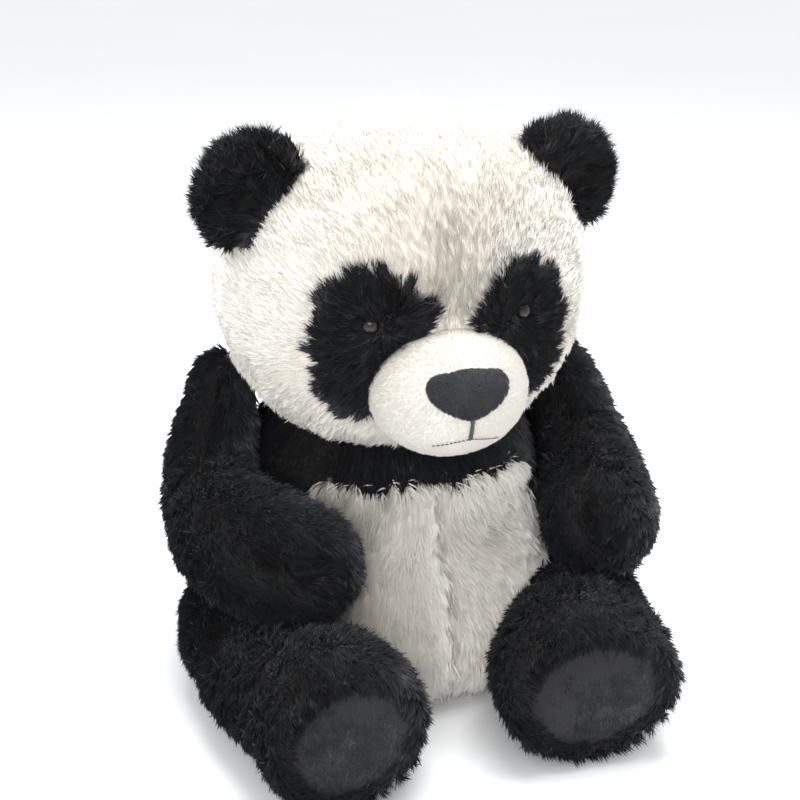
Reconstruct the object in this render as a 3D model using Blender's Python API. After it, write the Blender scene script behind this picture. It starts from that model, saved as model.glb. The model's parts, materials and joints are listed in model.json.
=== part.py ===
"""Seated plush panda: sewn covers over stuffing, with a neck, shoulders, hips, ears and tail that move.

Metres, +Z up. The panda sits on z = 0 and faces -Y, so its own left side is at +X.
Each sewn panel is a shell that is open where it is sewn on, and the stuffing is the solid inside it.
"""
import math

import bmesh
import bpy
from mathutils import Matrix, Vector

# ---- Fits and cloth ---------------------------------------------------------------------------
GAP = 0.0003            # clear space between two sewn pieces
SKIN = 0.004            # a cover: its backing and the pressed part of the pile
LIMB_CLEAR = 0.0020     # clear space between a limb and the body beside it
LIMB_FILL_GAP = 0.0009  # clear space between a limb's cover and its stuffing, which bends with it

# ---- Torso ------------------------------------------------------------------------------------
TORSO_CENTRE = Vector((0.0, 0.0, 0.088))
TORSO_RADII = Vector((0.092, 0.092, 0.096))
TORSO_POWER = 2.3       # 2 is an ellipsoid; more is fuller towards the corners
TORSO_LOW_RADIUS = 0.125  # the vertical radius below the centre, where the pellets fill the seat out
BELLY_PUSH = 0.040      # how far the low belly hangs forward between the legs
BELLY_PUSH_Z = (0.105, 0.020)   # it starts at the first height and is full at the second
BELLY_PUSH_Y = (0.020, -0.050)  # and the same from the side to the front
YOKE_Z = 0.130          # the seam between the black yoke and the white panels
SIDE_SEAM_Y = 0.008     # the seam between the front and the back panels
SEAT_Z = 0.008          # the seam around the seat panel
POUCH_TOP = 0.034       # top of the pellet pouch in the seat

# ---- Head -------------------------------------------------------------------------------------
HEAD_CENTRE = Vector((0.0, -0.018, 0.236))
HEAD_RADII = Vector((0.109, 0.096, 0.100))
HEAD_POWER = 2.2
HEAD_SEAM_Y = -0.012    # the seam from ear to ear
MUZZLE_CENTRE = Vector((0.0, -0.106, 0.199))
MUZZLE_RADII = Vector((0.044, 0.040, 0.036))
NOSE_THICKNESS = 0.0028
THREAD_THICKNESS = 0.0014

# The space that the head sweeps as it turns and nods, which the yoke and the arms stay out of.
SWEEP_CENTRE = Vector((0.0, -0.018, 0.2355))
SWEEP_RADII = Vector((0.1165, 0.1125, 0.1045))

# ---- Neck -------------------------------------------------------------------------------------
NECK_Y = -0.012
NOD_Z = 0.150           # height of the nodding axis
NECK_BALL_R = 0.028
NECK_STEM_R = 0.022
NECK_BOTTOM = 0.105
NECK_FIT = 0.0008       # clear space around the neck

# ---- Eyes -------------------------------------------------------------------------------------
EYE_X = 0.0416
EYE_Z = 0.238
EYE_R = 0.006
SHANK_R = 0.0016
SHANK_LENGTH = 0.011
WASHER_R = 0.0055
WASHER_SETBACK = 0.0018  # the washer's place behind the cloth

# ---- Ears -------------------------------------------------------------------------------------
EAR_CENTRES = {"left": Vector((0.0885, -0.050, 0.2985)), "right": Vector((-0.0925, -0.054, 0.3010))}
EAR_RADII = Vector((0.029, 0.011, 0.032))
EAR_LEAN = math.radians(45)
EAR_CLEAR = 0.003

# ---- Limbs: centre, half width and half depth at each station, from the root to the tip ---------
ARM_STATIONS = {
    "right": [((-0.106, 0.002, 0.151), 0.018, 0.026), ((-0.112, -0.004, 0.131), 0.021, 0.033),
              ((-0.118, -0.021, 0.110), 0.025, 0.037), ((-0.113, -0.054, 0.103), 0.030, 0.035),
              ((-0.094, -0.083, 0.103), 0.033, 0.034), ((-0.078, -0.098, 0.102), 0.030, 0.031)],
    "left": [((0.106, 0.002, 0.151), 0.018, 0.026), ((0.112, -0.006, 0.131), 0.021, 0.033),
             ((0.118, -0.026, 0.111), 0.026, 0.036), ((0.113, -0.057, 0.104), 0.029, 0.034),
             ((0.101, -0.085, 0.1035), 0.031, 0.033)],
}
LEG_STATIONS = {
    "right": [((-0.092, 0.001, 0.032), 0.034, 0.031), ((-0.101, -0.045, 0.032), 0.040, 0.031),
              ((-0.099, -0.096, 0.034), 0.040, 0.033), ((-0.087, -0.140, 0.041), 0.041, 0.040),
              ((-0.080, -0.168, 0.046), 0.043, 0.045), ((-0.078, -0.184, 0.046), 0.039, 0.042)],
    "left": [((0.090, 0.001, 0.032), 0.034, 0.031), ((0.096, -0.045, 0.032), 0.040, 0.031),
             ((0.091, -0.096, 0.034), 0.041, 0.033), ((0.075, -0.140, 0.041), 0.044, 0.040),
             ((0.065, -0.168, 0.046), 0.046, 0.045), ((0.062, -0.184, 0.046), 0.042, 0.042)],
}
MOUTH_R = 0.011         # the opening of an arm cover, which is sewn to the body
SOLE_THICKNESS = 0.003
SOLE_BULGE = 0.0015

# ---- Tail and label -----------------------------------------------------------------------------
TAIL_CENTRE = Vector((0.0, 0.103, 0.040))
TAIL_RADII = Vector((0.019, 0.017, 0.016))
TAIL_CLEAR = 0.0025
LABEL_SIZE = Vector((0.018, 0.026, 0.0006))
LABEL_CENTRE = Vector((0.036, 0.0900, 0.0150))

MATERIALS = {
    "black_fur": ((0.020, 0.020, 0.023), 0.85),
    "white_fur": ((0.88, 0.86, 0.82), 0.90),
    "white_velour": ((0.90, 0.88, 0.85), 0.90),
    "nose_fleece": ((0.022, 0.022, 0.026), 0.90),
    "sole_velour": ((0.030, 0.031, 0.035), 0.85),
    "black_thread": ((0.012, 0.012, 0.014), 0.70),
    "eye_plastic": ((0.018, 0.009, 0.006), 0.08),
    "washer_plastic": ((0.80, 0.80, 0.78), 0.45),
    "polyester_stuffing": ((0.93, 0.93, 0.92), 1.00),
    "pouch_cloth": ((0.72, 0.74, 0.76), 0.90),
    "label_tape": ((0.90, 0.90, 0.89), 0.60),
}


# ---- Basic mesh tools ---------------------------------------------------------------------------
def clear_scene():
    for item in list(bpy.data.objects):
        bpy.data.objects.remove(item, do_unlink=True)


def material(name):
    made = bpy.data.materials.get(name)
    if made is None:
        colour, roughness = MATERIALS[name]
        made = bpy.data.materials.new(name)
        made.use_nodes = True
        shader = made.node_tree.nodes["Principled BSDF"]
        shader.inputs["Base Color"].default_value = (*colour, 1.0)
        shader.inputs["Roughness"].default_value = roughness
        shader.inputs["Metallic"].default_value = 0.0
        made.diffuse_color = (*colour, 1.0)
    return made


def add_object(name, bm):
    bmesh.ops.recalc_face_normals(bm, faces=bm.faces)
    mesh = bpy.data.meshes.new(name)
    bm.to_mesh(mesh)
    bm.free()
    made = bpy.data.objects.new(name, mesh)
    bpy.context.scene.collection.objects.link(made)
    return made


def superellipsoid(centre, radii, power=2.0, grow=0.0, segments=24, rings=14):
    """A rounded form that is an ellipsoid at power 2 and fuller above it."""
    bm = bmesh.new()
    bmesh.ops.create_uvsphere(bm, u_segments=segments, v_segments=rings, radius=1.0)
    for vert in bm.verts:
        direction = vert.co.normalized()
        length = sum(abs(part) ** power for part in direction) ** (-1.0 / power)
        vert.co = Vector([direction[i] * length * (radii[i] + grow) for i in range(3)]) + centre
    return add_object("form", bm)


def box(low, high):
    bm = bmesh.new()
    bmesh.ops.create_cube(bm, size=1.0)
    for vert in bm.verts:
        vert.co = Vector([low[i] + (vert.co[i] + 0.5) * (high[i] - low[i]) for i in range(3)])
    return add_object("box", bm)


def prism(outline, near_y, far_y):
    """A straight prism along Y over an outline of (x, z) points."""
    bm = bmesh.new()
    near = [bm.verts.new((x, near_y, z)) for x, z in outline]
    far = [bm.verts.new((x, far_y, z)) for x, z in outline]
    bm.faces.new(near)
    bm.faces.new(list(reversed(far)))
    count = len(outline)
    for i in range(count):
        j = (i + 1) % count
        bm.faces.new((near[i], far[i], far[j], near[j]))
    return add_object("prism", bm)


def turned(profile, placement, segments=20):
    """A solid turned about local Z from (radius, height) points that start and end on the axis."""
    bm = bmesh.new()
    rings = []
    for radius, height in profile:
        if radius == 0.0:
            rings.append([bm.verts.new((0.0, 0.0, height))])
            continue
        angles = [2.0 * math.pi * i / segments for i in range(segments)]
        rings.append([bm.verts.new((radius * math.cos(a), radius * math.sin(a), height)) for a in angles])
    join_rings(bm, rings)
    bmesh.ops.transform(bm, matrix=placement, verts=bm.verts)
    return add_object("turned", bm)


def join_rings(bm, rings):
    """Skins a row of rings of vertices; a ring of one vertex is a pole."""
    for first, second in zip(rings, rings[1:]):
        count = max(len(first), len(second))
        for i in range(count):
            j = (i + 1) % count
            if len(first) == 1:
                bm.faces.new((first[0], second[i], second[j]))
            elif len(second) == 1:
                bm.faces.new((first[i], second[0], first[j]))
            else:
                bm.faces.new((first[i], second[i], second[j], first[j]))


def combine(body, operation, cutter, keep_cutter=False):
    """Applies one Boolean to body and removes the cutter."""
    modifier = body.modifiers.new("cut", "BOOLEAN")
    modifier.operation = operation
    modifier.solver = "EXACT"
    modifier.object = cutter
    evaluated = body.evaluated_get(bpy.context.evaluated_depsgraph_get())
    result = bpy.data.meshes.new_from_object(evaluated)
    body.modifiers.remove(modifier)
    body.data = result
    if not keep_cutter:
        bpy.data.objects.remove(cutter, do_unlink=True)
    return body


def cut(body, cutter, keep_cutter=False):
    return combine(body, "DIFFERENCE", cutter, keep_cutter)


def keep_inside(body, cutter, keep_cutter=False):
    return combine(body, "INTERSECT", cutter, keep_cutter)


def copy_of(source):
    made = bpy.data.objects.new(source.name, source.data.copy())
    bpy.context.scene.collection.objects.link(made)
    return made


def discard(*items):
    for item in items:
        bpy.data.objects.remove(item, do_unlink=True)


def finish(name, body, material_name):
    """Names a finished piece, cleans its mesh and gives it its material."""
    bm = bmesh.new()
    bm.from_mesh(body.data)
    bmesh.ops.remove_doubles(bm, verts=bm.verts, dist=0.00001)
    bmesh.ops.dissolve_degenerate(bm, dist=0.00001, edges=bm.edges)
    bm.to_mesh(body.data)
    bm.free()
    body.name = name
    body.data.name = name
    body.data.materials.clear()
    body.data.materials.append(material(material_name))
    body.data.shade_smooth()
    body.data.set_sharp_from_angle(angle=math.radians(40))
    return body


# ---- Forms of this panda --------------------------------------------------------------------------
def eased(value, start, end):
    """0 at start, 1 at end, and smooth between them."""
    share = min(max((value - start) / (end - start), 0.0), 1.0)
    return share * share * (3.0 - 2.0 * share)


def torso_body(grow):
    """The torso's pear-shaped form, before its seat is cut flat. Forms of a different grow nest."""
    form = superellipsoid(TORSO_CENTRE, TORSO_RADII, TORSO_POWER, grow)
    for vert in form.data.vertices:
        at_no_grow = Vector([(vert.co[i] - TORSO_CENTRE[i]) * TORSO_RADII[i] / (TORSO_RADII[i] + grow)
                             for i in range(3)])
        if at_no_grow.z < 0.0:
            at_no_grow.z *= TORSO_LOW_RADIUS / TORSO_RADII.z
            low_scale = (TORSO_LOW_RADIUS + grow) / (TORSO_RADII.z + grow)
            vert.co.z = TORSO_CENTRE.z + (vert.co.z - TORSO_CENTRE.z) * low_scale
        place = at_no_grow + TORSO_CENTRE
        vert.co.y -= BELLY_PUSH * eased(place.z, *BELLY_PUSH_Z) * eased(place.y, *BELLY_PUSH_Y)
    # The same diagonal in every nested form keeps the gaps between them even.
    bm = bmesh.new()
    bm.from_mesh(form.data)
    bmesh.ops.triangulate(bm, faces=bm.faces, quad_method="FIXED")
    bm.to_mesh(form.data)
    bm.free()
    return form


def torso_form(grow):
    """The torso's form, flat underneath where it sits."""
    form = torso_body(grow)
    reach = 0.3
    cut(form, box((-reach, -reach, -reach), (reach, reach, -min(grow, 0.0))))
    return form


def head_form(grow):
    return superellipsoid(HEAD_CENTRE, HEAD_RADII, HEAD_POWER, grow)


def muzzle_form(grow):
    return superellipsoid(MUZZLE_CENTRE, MUZZLE_RADII, 2.0, grow, segments=18, rings=10)


def head_sweep(grow):
    return superellipsoid(SWEEP_CENTRE, SWEEP_RADII, HEAD_POWER, grow, segments=24, rings=14)


def neck_room(clearance):
    """The neck's ball and stem, grown by the clearance, as one turned solid."""
    ball = NECK_BALL_R + clearance
    steps = 6
    profile = [(0.0, NOD_Z + ball)]
    for i in range(1, steps + 1):
        angle = math.pi / 2 * (1.0 - i / steps)
        profile.append((ball * math.cos(angle), NOD_Z + ball * math.sin(angle)))
    return profile


def catmull_rom(values, steps):
    """Smooth values through the given ones, with this many steps between each two."""
    padded = [values[0] * 2 - values[1]] + values + [values[-1] * 2 - values[-2]]
    smooth = []
    for i in range(1, len(padded) - 2):
        for k in range(steps):
            t = k / steps
            a, b, c, d = padded[i - 1:i + 3]
            smooth.append(0.5 * (2 * b + (c - a) * t + (2 * a - 5 * b + 4 * c - d) * t * t
                                 + (3 * b - a - 3 * c + d) * t * t * t))
    smooth.append(values[-1])
    return smooth


def limb_form(stations, grow, flat_end=None, segments=14, steps=2, cap_rings=3):
    """A stuffed limb through its stations. The root is domed; the tip is domed too unless
    flat_end gives how far a flat tip runs past the last station."""
    centres = catmull_rom([Vector(s[0]) for s in stations], steps)
    widths = [w + grow for w in catmull_rom([s[1] for s in stations], steps)]
    depths = [d + grow for d in catmull_rom([s[2] for s in stations], steps)]
    last = len(centres) - 1
    bm = bmesh.new()

    def ring(centre, tangent, width, depth):
        side = Vector((1.0, 0.0, 0.0))
        side = (side - tangent * side.dot(tangent)).normalized()
        other = tangent.cross(side)
        angles = [2.0 * math.pi * i / segments for i in range(segments)]
        return [bm.verts.new(centre + side * width * math.cos(a) + other * depth * math.sin(a))
                for a in angles]

    def dome(index, tangent, outward):
        width = widths[index]
        depth = depths[index]
        height = 0.5 * (width + depth)
        rings = []
        for k in range(1, cap_rings):
            angle = math.pi / 2 * k / cap_rings
            centre = centres[index] + outward * height * math.sin(angle)
            rings.append(ring(centre, tangent, width * math.cos(angle), depth * math.cos(angle)))
        rings.append([bm.verts.new(centres[index] + outward * height)])
        return rings

    def tangent_at(index):
        return (centres[min(index + 1, last)] - centres[max(index - 1, 0)]).normalized()

    rings = list(reversed(dome(0, tangent_at(0), -tangent_at(0))))
    rings += [ring(centres[i], tangent_at(i), widths[i], depths[i]) for i in range(last + 1)]
    if flat_end is None:
        rings += dome(last, tangent_at(last), tangent_at(last))
    elif flat_end > 0.0:
        end = centres[last] + tangent_at(last) * flat_end
        rings.append(ring(end, tangent_at(last), widths[last], depths[last]))
    join_rings(bm, rings)
    if flat_end is not None:
        bm.faces.new(list(reversed(rings[-1])))
    return add_object("limb", bm)


# ---- Torso ------------------------------------------------------------------------------------------
def torso_panel(shell, name, material_name, low, high):
    panel = copy_of(shell)
    keep_inside(panel, box(low, high))
    return finish(name, panel, material_name)


def neck_hole():
    stem = NECK_STEM_R + NECK_FIT
    return turned([(0.0, NECK_BOTTOM - GAP), (stem, NECK_BOTTOM - GAP), (stem, NOD_Z), (0.0, NOD_Z)],
                  Matrix.Translation((0.0, NECK_Y, 0.0)), segments=16)


def make_torso():
    reach = 0.2
    half = GAP / 2
    shell = torso_form(0.0)
    cut(shell, torso_form(-SKIN))
    # The top is dished below the space that the head sweeps, and the dish keeps the cover's thickness.
    cut(shell, head_sweep(0.0))
    cut(shell, neck_hole())
    top = YOKE_Z + half
    low = SEAT_Z + half
    below = YOKE_Z - half
    front = SIDE_SEAM_Y - half
    back = SIDE_SEAM_Y + half
    torso_panel(shell, "chest_yoke", "black_fur", (-reach, -reach, top), (reach, front, reach))
    torso_panel(shell, "shoulder_yoke", "black_fur", (-reach, back, top), (reach, reach, reach))
    torso_panel(shell, "belly_panel_right", "white_fur", (-reach, -reach, low), (-half, front, below))
    torso_panel(shell, "belly_panel_left", "white_fur", (half, -reach, low), (reach, front, below))
    torso_panel(shell, "back_panel_right", "white_fur", (-reach, back, low), (-half, reach, below))
    torso_panel(shell, "back_panel_left", "white_fur", (half, back, low), (reach, reach, below))
    torso_panel(shell, "seat_panel", "white_fur", (-reach, -reach, -reach), (reach, reach, SEAT_Z - half))
    discard(shell)

    inner = torso_form(-SKIN - GAP)
    cut(inner, head_sweep(SKIN))
    pouch = copy_of(inner)
    keep_inside(pouch, box((-reach, -reach, -reach), (reach, reach, POUCH_TOP - half)))
    finish("pellet_pouch", pouch, "pouch_cloth")
    cut(inner, box((-reach, -reach, -reach), (reach, reach, POUCH_TOP + half)))
    cut(inner, neck_hole())
    finish("torso_stuffing", inner, "polyester_stuffing")


def make_neck():
    ball = NECK_BALL_R
    steps = 8
    lowest = -math.acos(NECK_STEM_R / ball)
    profile = [(0.0, NECK_BOTTOM), (NECK_STEM_R, NECK_BOTTOM)]
    for i in range(steps):
        angle = lowest + (math.pi / 2 - lowest) * i / steps
        profile.append((ball * math.cos(angle), NOD_Z + ball * math.sin(angle)))
    profile.append((0.0, NOD_Z + ball))
    neck = turned(profile, Matrix.Translation((0.0, NECK_Y, 0.0)), segments=16)
    finish("neck_stuffing", neck, "polyester_stuffing")


# ---- Head ---------------------------------------------------------------------------------------------
def neck_socket():
    """The room for the neck's ball: half round above the nodding axis, straight below it."""
    radius = NECK_BALL_R + NECK_FIT
    below = 0.05
    steps = 7
    profile = [(0.0, NOD_Z - below), (radius, NOD_Z - below)]
    for i in range(steps):
        angle = math.pi / 2 * i / steps
        profile.append((radius * math.cos(angle), NOD_Z + radius * math.sin(angle)))
    profile.append((0.0, NOD_Z + radius))
    return turned(profile, Matrix.Translation((0.0, NECK_Y, 0.0)), segments=16)


def patch_outline(sign, scale):
    """A drooping patch: a point by the bridge of the nose, full above, a tail beside the muzzle."""
    points = [(0.012, 0.246), (0.022, 0.259), (0.037, 0.267), (0.053, 0.264), (0.064, 0.249),
              (0.069, 0.227), (0.066, 0.204), (0.056, 0.187), (0.045, 0.199), (0.035, 0.222),
              (0.023, 0.237)]
    middle_x = sum(x for x, z in points) / len(points)
    middle_z = sum(z for x, z in points) / len(points)
    scaled = [(middle_x + (x - middle_x) * scale, middle_z + (z - middle_z) * scale) for x, z in points]
    return [(sign * x, z) for x, z in scaled]


def head_surface_y(x, z):
    """The front of the head's form over (x, z)."""
    dx = abs((x - HEAD_CENTRE.x) / HEAD_RADII.x) ** HEAD_POWER
    dz = abs((z - HEAD_CENTRE.z) / HEAD_RADII.z) ** HEAD_POWER
    return HEAD_CENTRE.y - HEAD_RADII.y * (1.0 - dx - dz) ** (1.0 / HEAD_POWER)


def eye_placement(sign):
    """A frame on the head's surface at the eye, with local Z straight out of the surface."""
    x = sign * EYE_X
    step = 0.001
    here = Vector((x, head_surface_y(x, EYE_Z), EYE_Z))
    across = Vector((x + step, head_surface_y(x + step, EYE_Z), EYE_Z)) - here
    upward = Vector((x, head_surface_y(x, EYE_Z + step), EYE_Z + step)) - here
    outward = across.cross(upward).normalized()
    if outward.y > 0.0:
        outward.negate()
    return Matrix.Translation(here) @ outward.to_track_quat("Z", "Y").to_matrix().to_4x4()


def make_eye(side, sign):
    """A domed safety eye with its shank through the cloth, and the lock washer behind the cloth."""
    placement = eye_placement(sign)
    rim = 0.0006
    steps = 4
    profile = [(0.0, -SHANK_LENGTH), (SHANK_R, -SHANK_LENGTH), (SHANK_R, rim), (EYE_R, rim)]
    for i in range(1, steps):
        angle = math.pi / 2 * i / steps
        profile.append((EYE_R * math.cos(angle), rim + 0.75 * EYE_R * math.sin(angle)))
    profile.append((0.0, rim + 0.75 * EYE_R))
    finish("eye_" + side, turned(profile, placement, segments=12), "eye_plastic")

    top = -SKIN - WASHER_SETBACK
    bottom = top - 0.0014
    hole = SHANK_R + GAP
    bm = bmesh.new()
    rings = []
    for radius, height in ((hole, top), (WASHER_R, top), (WASHER_R, bottom), (hole, bottom)):
        angles = [2.0 * math.pi * i / 12 for i in range(12)]
        rings.append([bm.verts.new((radius * math.cos(a), radius * math.sin(a), height)) for a in angles])
    join_rings(bm, rings + rings[:1])
    bmesh.ops.transform(bm, matrix=placement, verts=bm.verts)
    finish("eye_washer_" + side, add_object("washer", bm), "washer_plastic")


def eye_pocket(sign, radius, depth):
    outside = 0.01
    return turned([(0.0, -depth), (radius, -depth), (radius, outside), (0.0, outside)],
                  eye_placement(sign), segments=12)


def make_head():
    reach = 0.4
    half = GAP / 2
    far_back = HEAD_CENTRE.y
    shell = head_form(0.0)
    cut(shell, head_form(-SKIN))
    cut(shell, neck_socket())
    cut(shell, muzzle_form(GAP))

    back = copy_of(shell)
    keep_inside(back, box((-reach, HEAD_SEAM_Y + half, -reach), (reach, reach, reach)))
    finish("head_back_panel", back, "white_fur")
    cut(shell, box((-reach, HEAD_SEAM_Y - half, -reach), (reach, reach, reach)))

    for side, sign in (("left", 1.0), ("right", -1.0)):
        patch = copy_of(shell)
        keep_inside(patch, prism(patch_outline(sign, 1.0), -reach, far_back))
        cut(patch, eye_pocket(sign, SHANK_R + GAP, 0.02))
        finish("eye_patch_" + side, patch, "black_fur")
        cut(shell, prism(patch_outline(sign, 1.025), -reach, far_back))
        make_eye(side, sign)
    finish("head_front_panel", shell, "white_fur")

    stuffing = head_form(-SKIN - GAP)
    cut(stuffing, neck_socket())
    for sign in (1.0, -1.0):
        cut(stuffing, eye_pocket(sign, WASHER_R + GAP, SHANK_LENGTH + GAP))
    finish("head_stuffing", stuffing, "polyester_stuffing")


def make_muzzle():
    cover = muzzle_form(0.0)
    cut(cover, muzzle_form(-SKIN))
    cut(cover, head_form(-SKIN))
    finish("muzzle_cover", cover, "white_velour")
    stuffing = muzzle_form(-SKIN - GAP)
    cut(stuffing, head_form(-SKIN))
    finish("muzzle_stuffing", stuffing, "polyester_stuffing")


def applique(name, outline, thickness, material_name):
    """A piece of the given outline that lies on the front of the muzzle."""
    piece = muzzle_form(GAP + thickness)
    cut(piece, muzzle_form(GAP))
    keep_inside(piece, prism(outline, -0.3, MUZZLE_CENTRE.y))
    finish(name, piece, material_name)


def make_nose_and_mouth():
    half_nose = [(0.0, 0.2205), (0.0100, 0.2190), (0.0175, 0.2165), (0.0203, 0.2120), (0.0180, 0.2060),
                 (0.0105, 0.2010), (0.0, 0.1975)]
    nose = half_nose + [(-x, z) for x, z in reversed(half_nose[1:-1])]
    applique("nose", nose, NOSE_THICKNESS, "nose_fleece")
    half_mouth = [(0.0009, 0.1968), (0.0009, 0.1874), (0.0090, 0.1846), (0.0170, 0.1834),
                  (0.0170, 0.1822), (0.0088, 0.1832), (0.0, 0.1858)]
    mouth = half_mouth + [(-x, z) for x, z in reversed(half_mouth[:-1])]
    applique("mouth_thread", mouth, THREAD_THICKNESS, "black_thread")


def make_ear(side, sign):
    """A D-shaped ear of a front and a back panel, trimmed to follow the head under it."""
    centre = EAR_CENTRES[side]
    half = GAP / 2
    for part, near, far in (("front", -0.1, -half), ("back", half, 0.1)):
        panel = superellipsoid(Vector((0.0, 0.0, 0.0)), EAR_RADII, 2.2, segments=16, rings=8)
        keep_inside(panel, box((-0.1, near, -0.1), (0.1, far, 0.1)))
        panel.data.transform(Matrix.Translation(centre) @ Matrix.Rotation(sign * EAR_LEAN, 4, "Y"))
        cut(panel, head_form(EAR_CLEAR))
        finish("ear_" + part + "_panel_" + side, panel, "black_fur")


# ---- Limbs ----------------------------------------------------------------------------------------------
def arm_form(side, grow):
    form = limb_form(ARM_STATIONS[side], grow)
    cut(form, torso_body(LIMB_CLEAR - grow))
    return form


def make_arm(side, sign):
    root = Vector(ARM_STATIONS[side][0][0])
    cover = arm_form(side, 0.0)
    cut(cover, arm_form(side, -SKIN))
    inward = Matrix.Translation(root) @ Vector((-sign, 0.0, 0.0)).to_track_quat("Z", "Y").to_matrix().to_4x4()
    mouth = turned([(0.0, 0.0), (MOUTH_R, 0.0), (MOUTH_R, 0.05), (0.0, 0.05)], inward, segments=12)
    cut(cover, mouth)
    finish("arm_cover_" + side, cover, "black_fur")
    finish("arm_stuffing_" + side, arm_form(side, -SKIN - LIMB_FILL_GAP), "polyester_stuffing")


def leg_form(side, grow, flat_end):
    form = limb_form(LEG_STATIONS[side], grow, flat_end, segments=16)
    cut(form, torso_body(LIMB_CLEAR - grow))
    return form


def sole_placement(side):
    """A frame at the middle of the foot's front, with local Z straight out of the sole."""
    stations = LEG_STATIONS[side]
    end = Vector(stations[-1][0])
    outward = (end - Vector(stations[-2][0])).normalized()
    across = Vector((1.0, 0.0, 0.0))
    across = (across - outward * across.dot(outward)).normalized()
    frame = Matrix((across, outward.cross(across), outward)).transposed()
    return Matrix.Translation(end) @ frame.to_4x4()


def make_sole(side):
    """An oval sole, slightly domed, that closes the front of the leg cover."""
    width = LEG_STATIONS[side][-1][1] - SKIN - GAP
    depth = LEG_STATIONS[side][-1][2] - SKIN - GAP
    profile = [(0.0, -SOLE_THICKNESS), (1.0, -SOLE_THICKNESS), (1.0, 0.0), (0.6, 0.7 * SOLE_BULGE),
               (0.0, SOLE_BULGE)]
    oval = Matrix.Diagonal((width, depth, 1.0, 1.0))
    finish("foot_sole_" + side, turned(profile, sole_placement(side) @ oval, segments=16), "sole_velour")


def make_leg(side):
    past_end = 0.01
    wide = 0.08
    cover = leg_form(side, 0.0, 0.0)
    cut(cover, leg_form(side, -SKIN, past_end))
    finish("leg_cover_" + side, cover, "black_fur")
    stuffing = leg_form(side, -SKIN - LIMB_FILL_GAP, 0.0)
    behind_sole = -SOLE_THICKNESS - LIMB_FILL_GAP
    room = [(0.0, behind_sole), (wide, behind_sole), (wide, wide), (0.0, wide)]
    cut(stuffing, turned(room, sole_placement(side), segments=12))
    finish("leg_stuffing_" + side, stuffing, "polyester_stuffing")
    make_sole(side)


# ---- Tail and label -----------------------------------------------------------------------------------------
def make_tail():
    tail = superellipsoid(TAIL_CENTRE, TAIL_RADII, 2.0, segments=14, rings=8)
    cut(tail, torso_form(TAIL_CLEAR))
    finish("tail", tail, "white_fur")


def make_label():
    half = LABEL_SIZE / 2
    label = box(LABEL_CENTRE - half, LABEL_CENTRE + half)
    finish("care_label", label, "label_tape")


def main():
    clear_scene()
    make_torso()
    make_neck()
    make_head()
    make_muzzle()
    make_nose_and_mouth()
    for side, sign in (("left", 1.0), ("right", -1.0)):
        make_ear(side, sign)
        make_arm(side, sign)
        make_leg(side)
    make_tail()
    make_label()


main()
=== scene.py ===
"""Seated plush panda: fur, velour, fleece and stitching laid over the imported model.

Every cloth piece is a skin close to its CAD cover, and its pile is real strands that grow from that
skin. The arms' skins leave their CAD covers most, at the tops of the shoulders. Skins carry two
attributes that the pile reads: comb, the way the pile lies, and grow, how thick it stands there.
"""
import json
import math

import bmesh
import bpy
import numpy as np
from mathutils import Matrix, Vector


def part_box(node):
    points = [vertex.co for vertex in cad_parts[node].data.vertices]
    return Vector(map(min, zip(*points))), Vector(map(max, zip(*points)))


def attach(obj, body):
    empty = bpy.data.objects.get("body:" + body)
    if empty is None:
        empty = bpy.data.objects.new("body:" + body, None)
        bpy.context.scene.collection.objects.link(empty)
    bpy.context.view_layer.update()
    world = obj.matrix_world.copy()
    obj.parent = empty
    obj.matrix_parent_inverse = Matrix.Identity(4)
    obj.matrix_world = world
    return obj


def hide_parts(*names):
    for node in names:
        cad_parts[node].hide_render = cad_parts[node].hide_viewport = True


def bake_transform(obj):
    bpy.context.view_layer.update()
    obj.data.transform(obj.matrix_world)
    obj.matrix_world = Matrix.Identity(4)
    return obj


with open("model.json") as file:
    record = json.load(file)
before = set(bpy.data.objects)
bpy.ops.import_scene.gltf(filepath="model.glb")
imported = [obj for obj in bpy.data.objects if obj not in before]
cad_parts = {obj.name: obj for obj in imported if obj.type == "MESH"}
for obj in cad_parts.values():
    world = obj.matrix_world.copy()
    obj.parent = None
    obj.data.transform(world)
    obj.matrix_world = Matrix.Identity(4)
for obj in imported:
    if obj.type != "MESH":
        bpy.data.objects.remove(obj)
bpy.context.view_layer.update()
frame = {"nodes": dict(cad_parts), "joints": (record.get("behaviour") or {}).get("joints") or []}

# ---- Sizes, in metres ------------------------
PILE_SET_BACK = 0.0028       # how far the skins of the torso and the tail lie inside their CAD forms
FLOOR = 0.0004               # the lowest that pile may reach

HEAD_POWER = 2.2             # the same fullness as the CAD forms
TORSO_POWER = 2.3
YOKE_Z = 0.130
SIDE_SEAM_Y = 0.008
SEAT_Z = 0.008
HEAD_SEAM_Y = -0.012

EYE_X = 0.0416
EYE_Z = 0.238
EYE_R = 0.0046

# Each eye patch as (distance from the middle, z) seen from the front: a point by the bridge of the
# nose, full above, and a tail beside the muzzle, which covers its inner edge.
PATCHES = {
    "left": [(0.019, 0.243), (0.027, 0.254), (0.039, 0.261), (0.053, 0.258), (0.062, 0.245), (0.067, 0.226),
             (0.065, 0.205), (0.056, 0.189), (0.036, 0.190), (0.027, 0.213), (0.020, 0.232)],
    "right": [(0.014, 0.244), (0.023, 0.256), (0.037, 0.2645), (0.052, 0.2615), (0.062, 0.248),
              (0.067, 0.227), (0.064, 0.205), (0.055, 0.189), (0.036, 0.190), (0.026, 0.214), (0.016, 0.234)],
}
NOSE_HALF = [(0.0, 0.2212), (0.0090, 0.2200), (0.0180, 0.2180), (0.0222, 0.2128), (0.0200, 0.2066),
             (0.0120, 0.2010), (0.0, 0.1970)]
NOSE = NOSE_HALF + [(-x, z) for x, z in reversed(NOSE_HALF[1:-1])]

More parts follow.
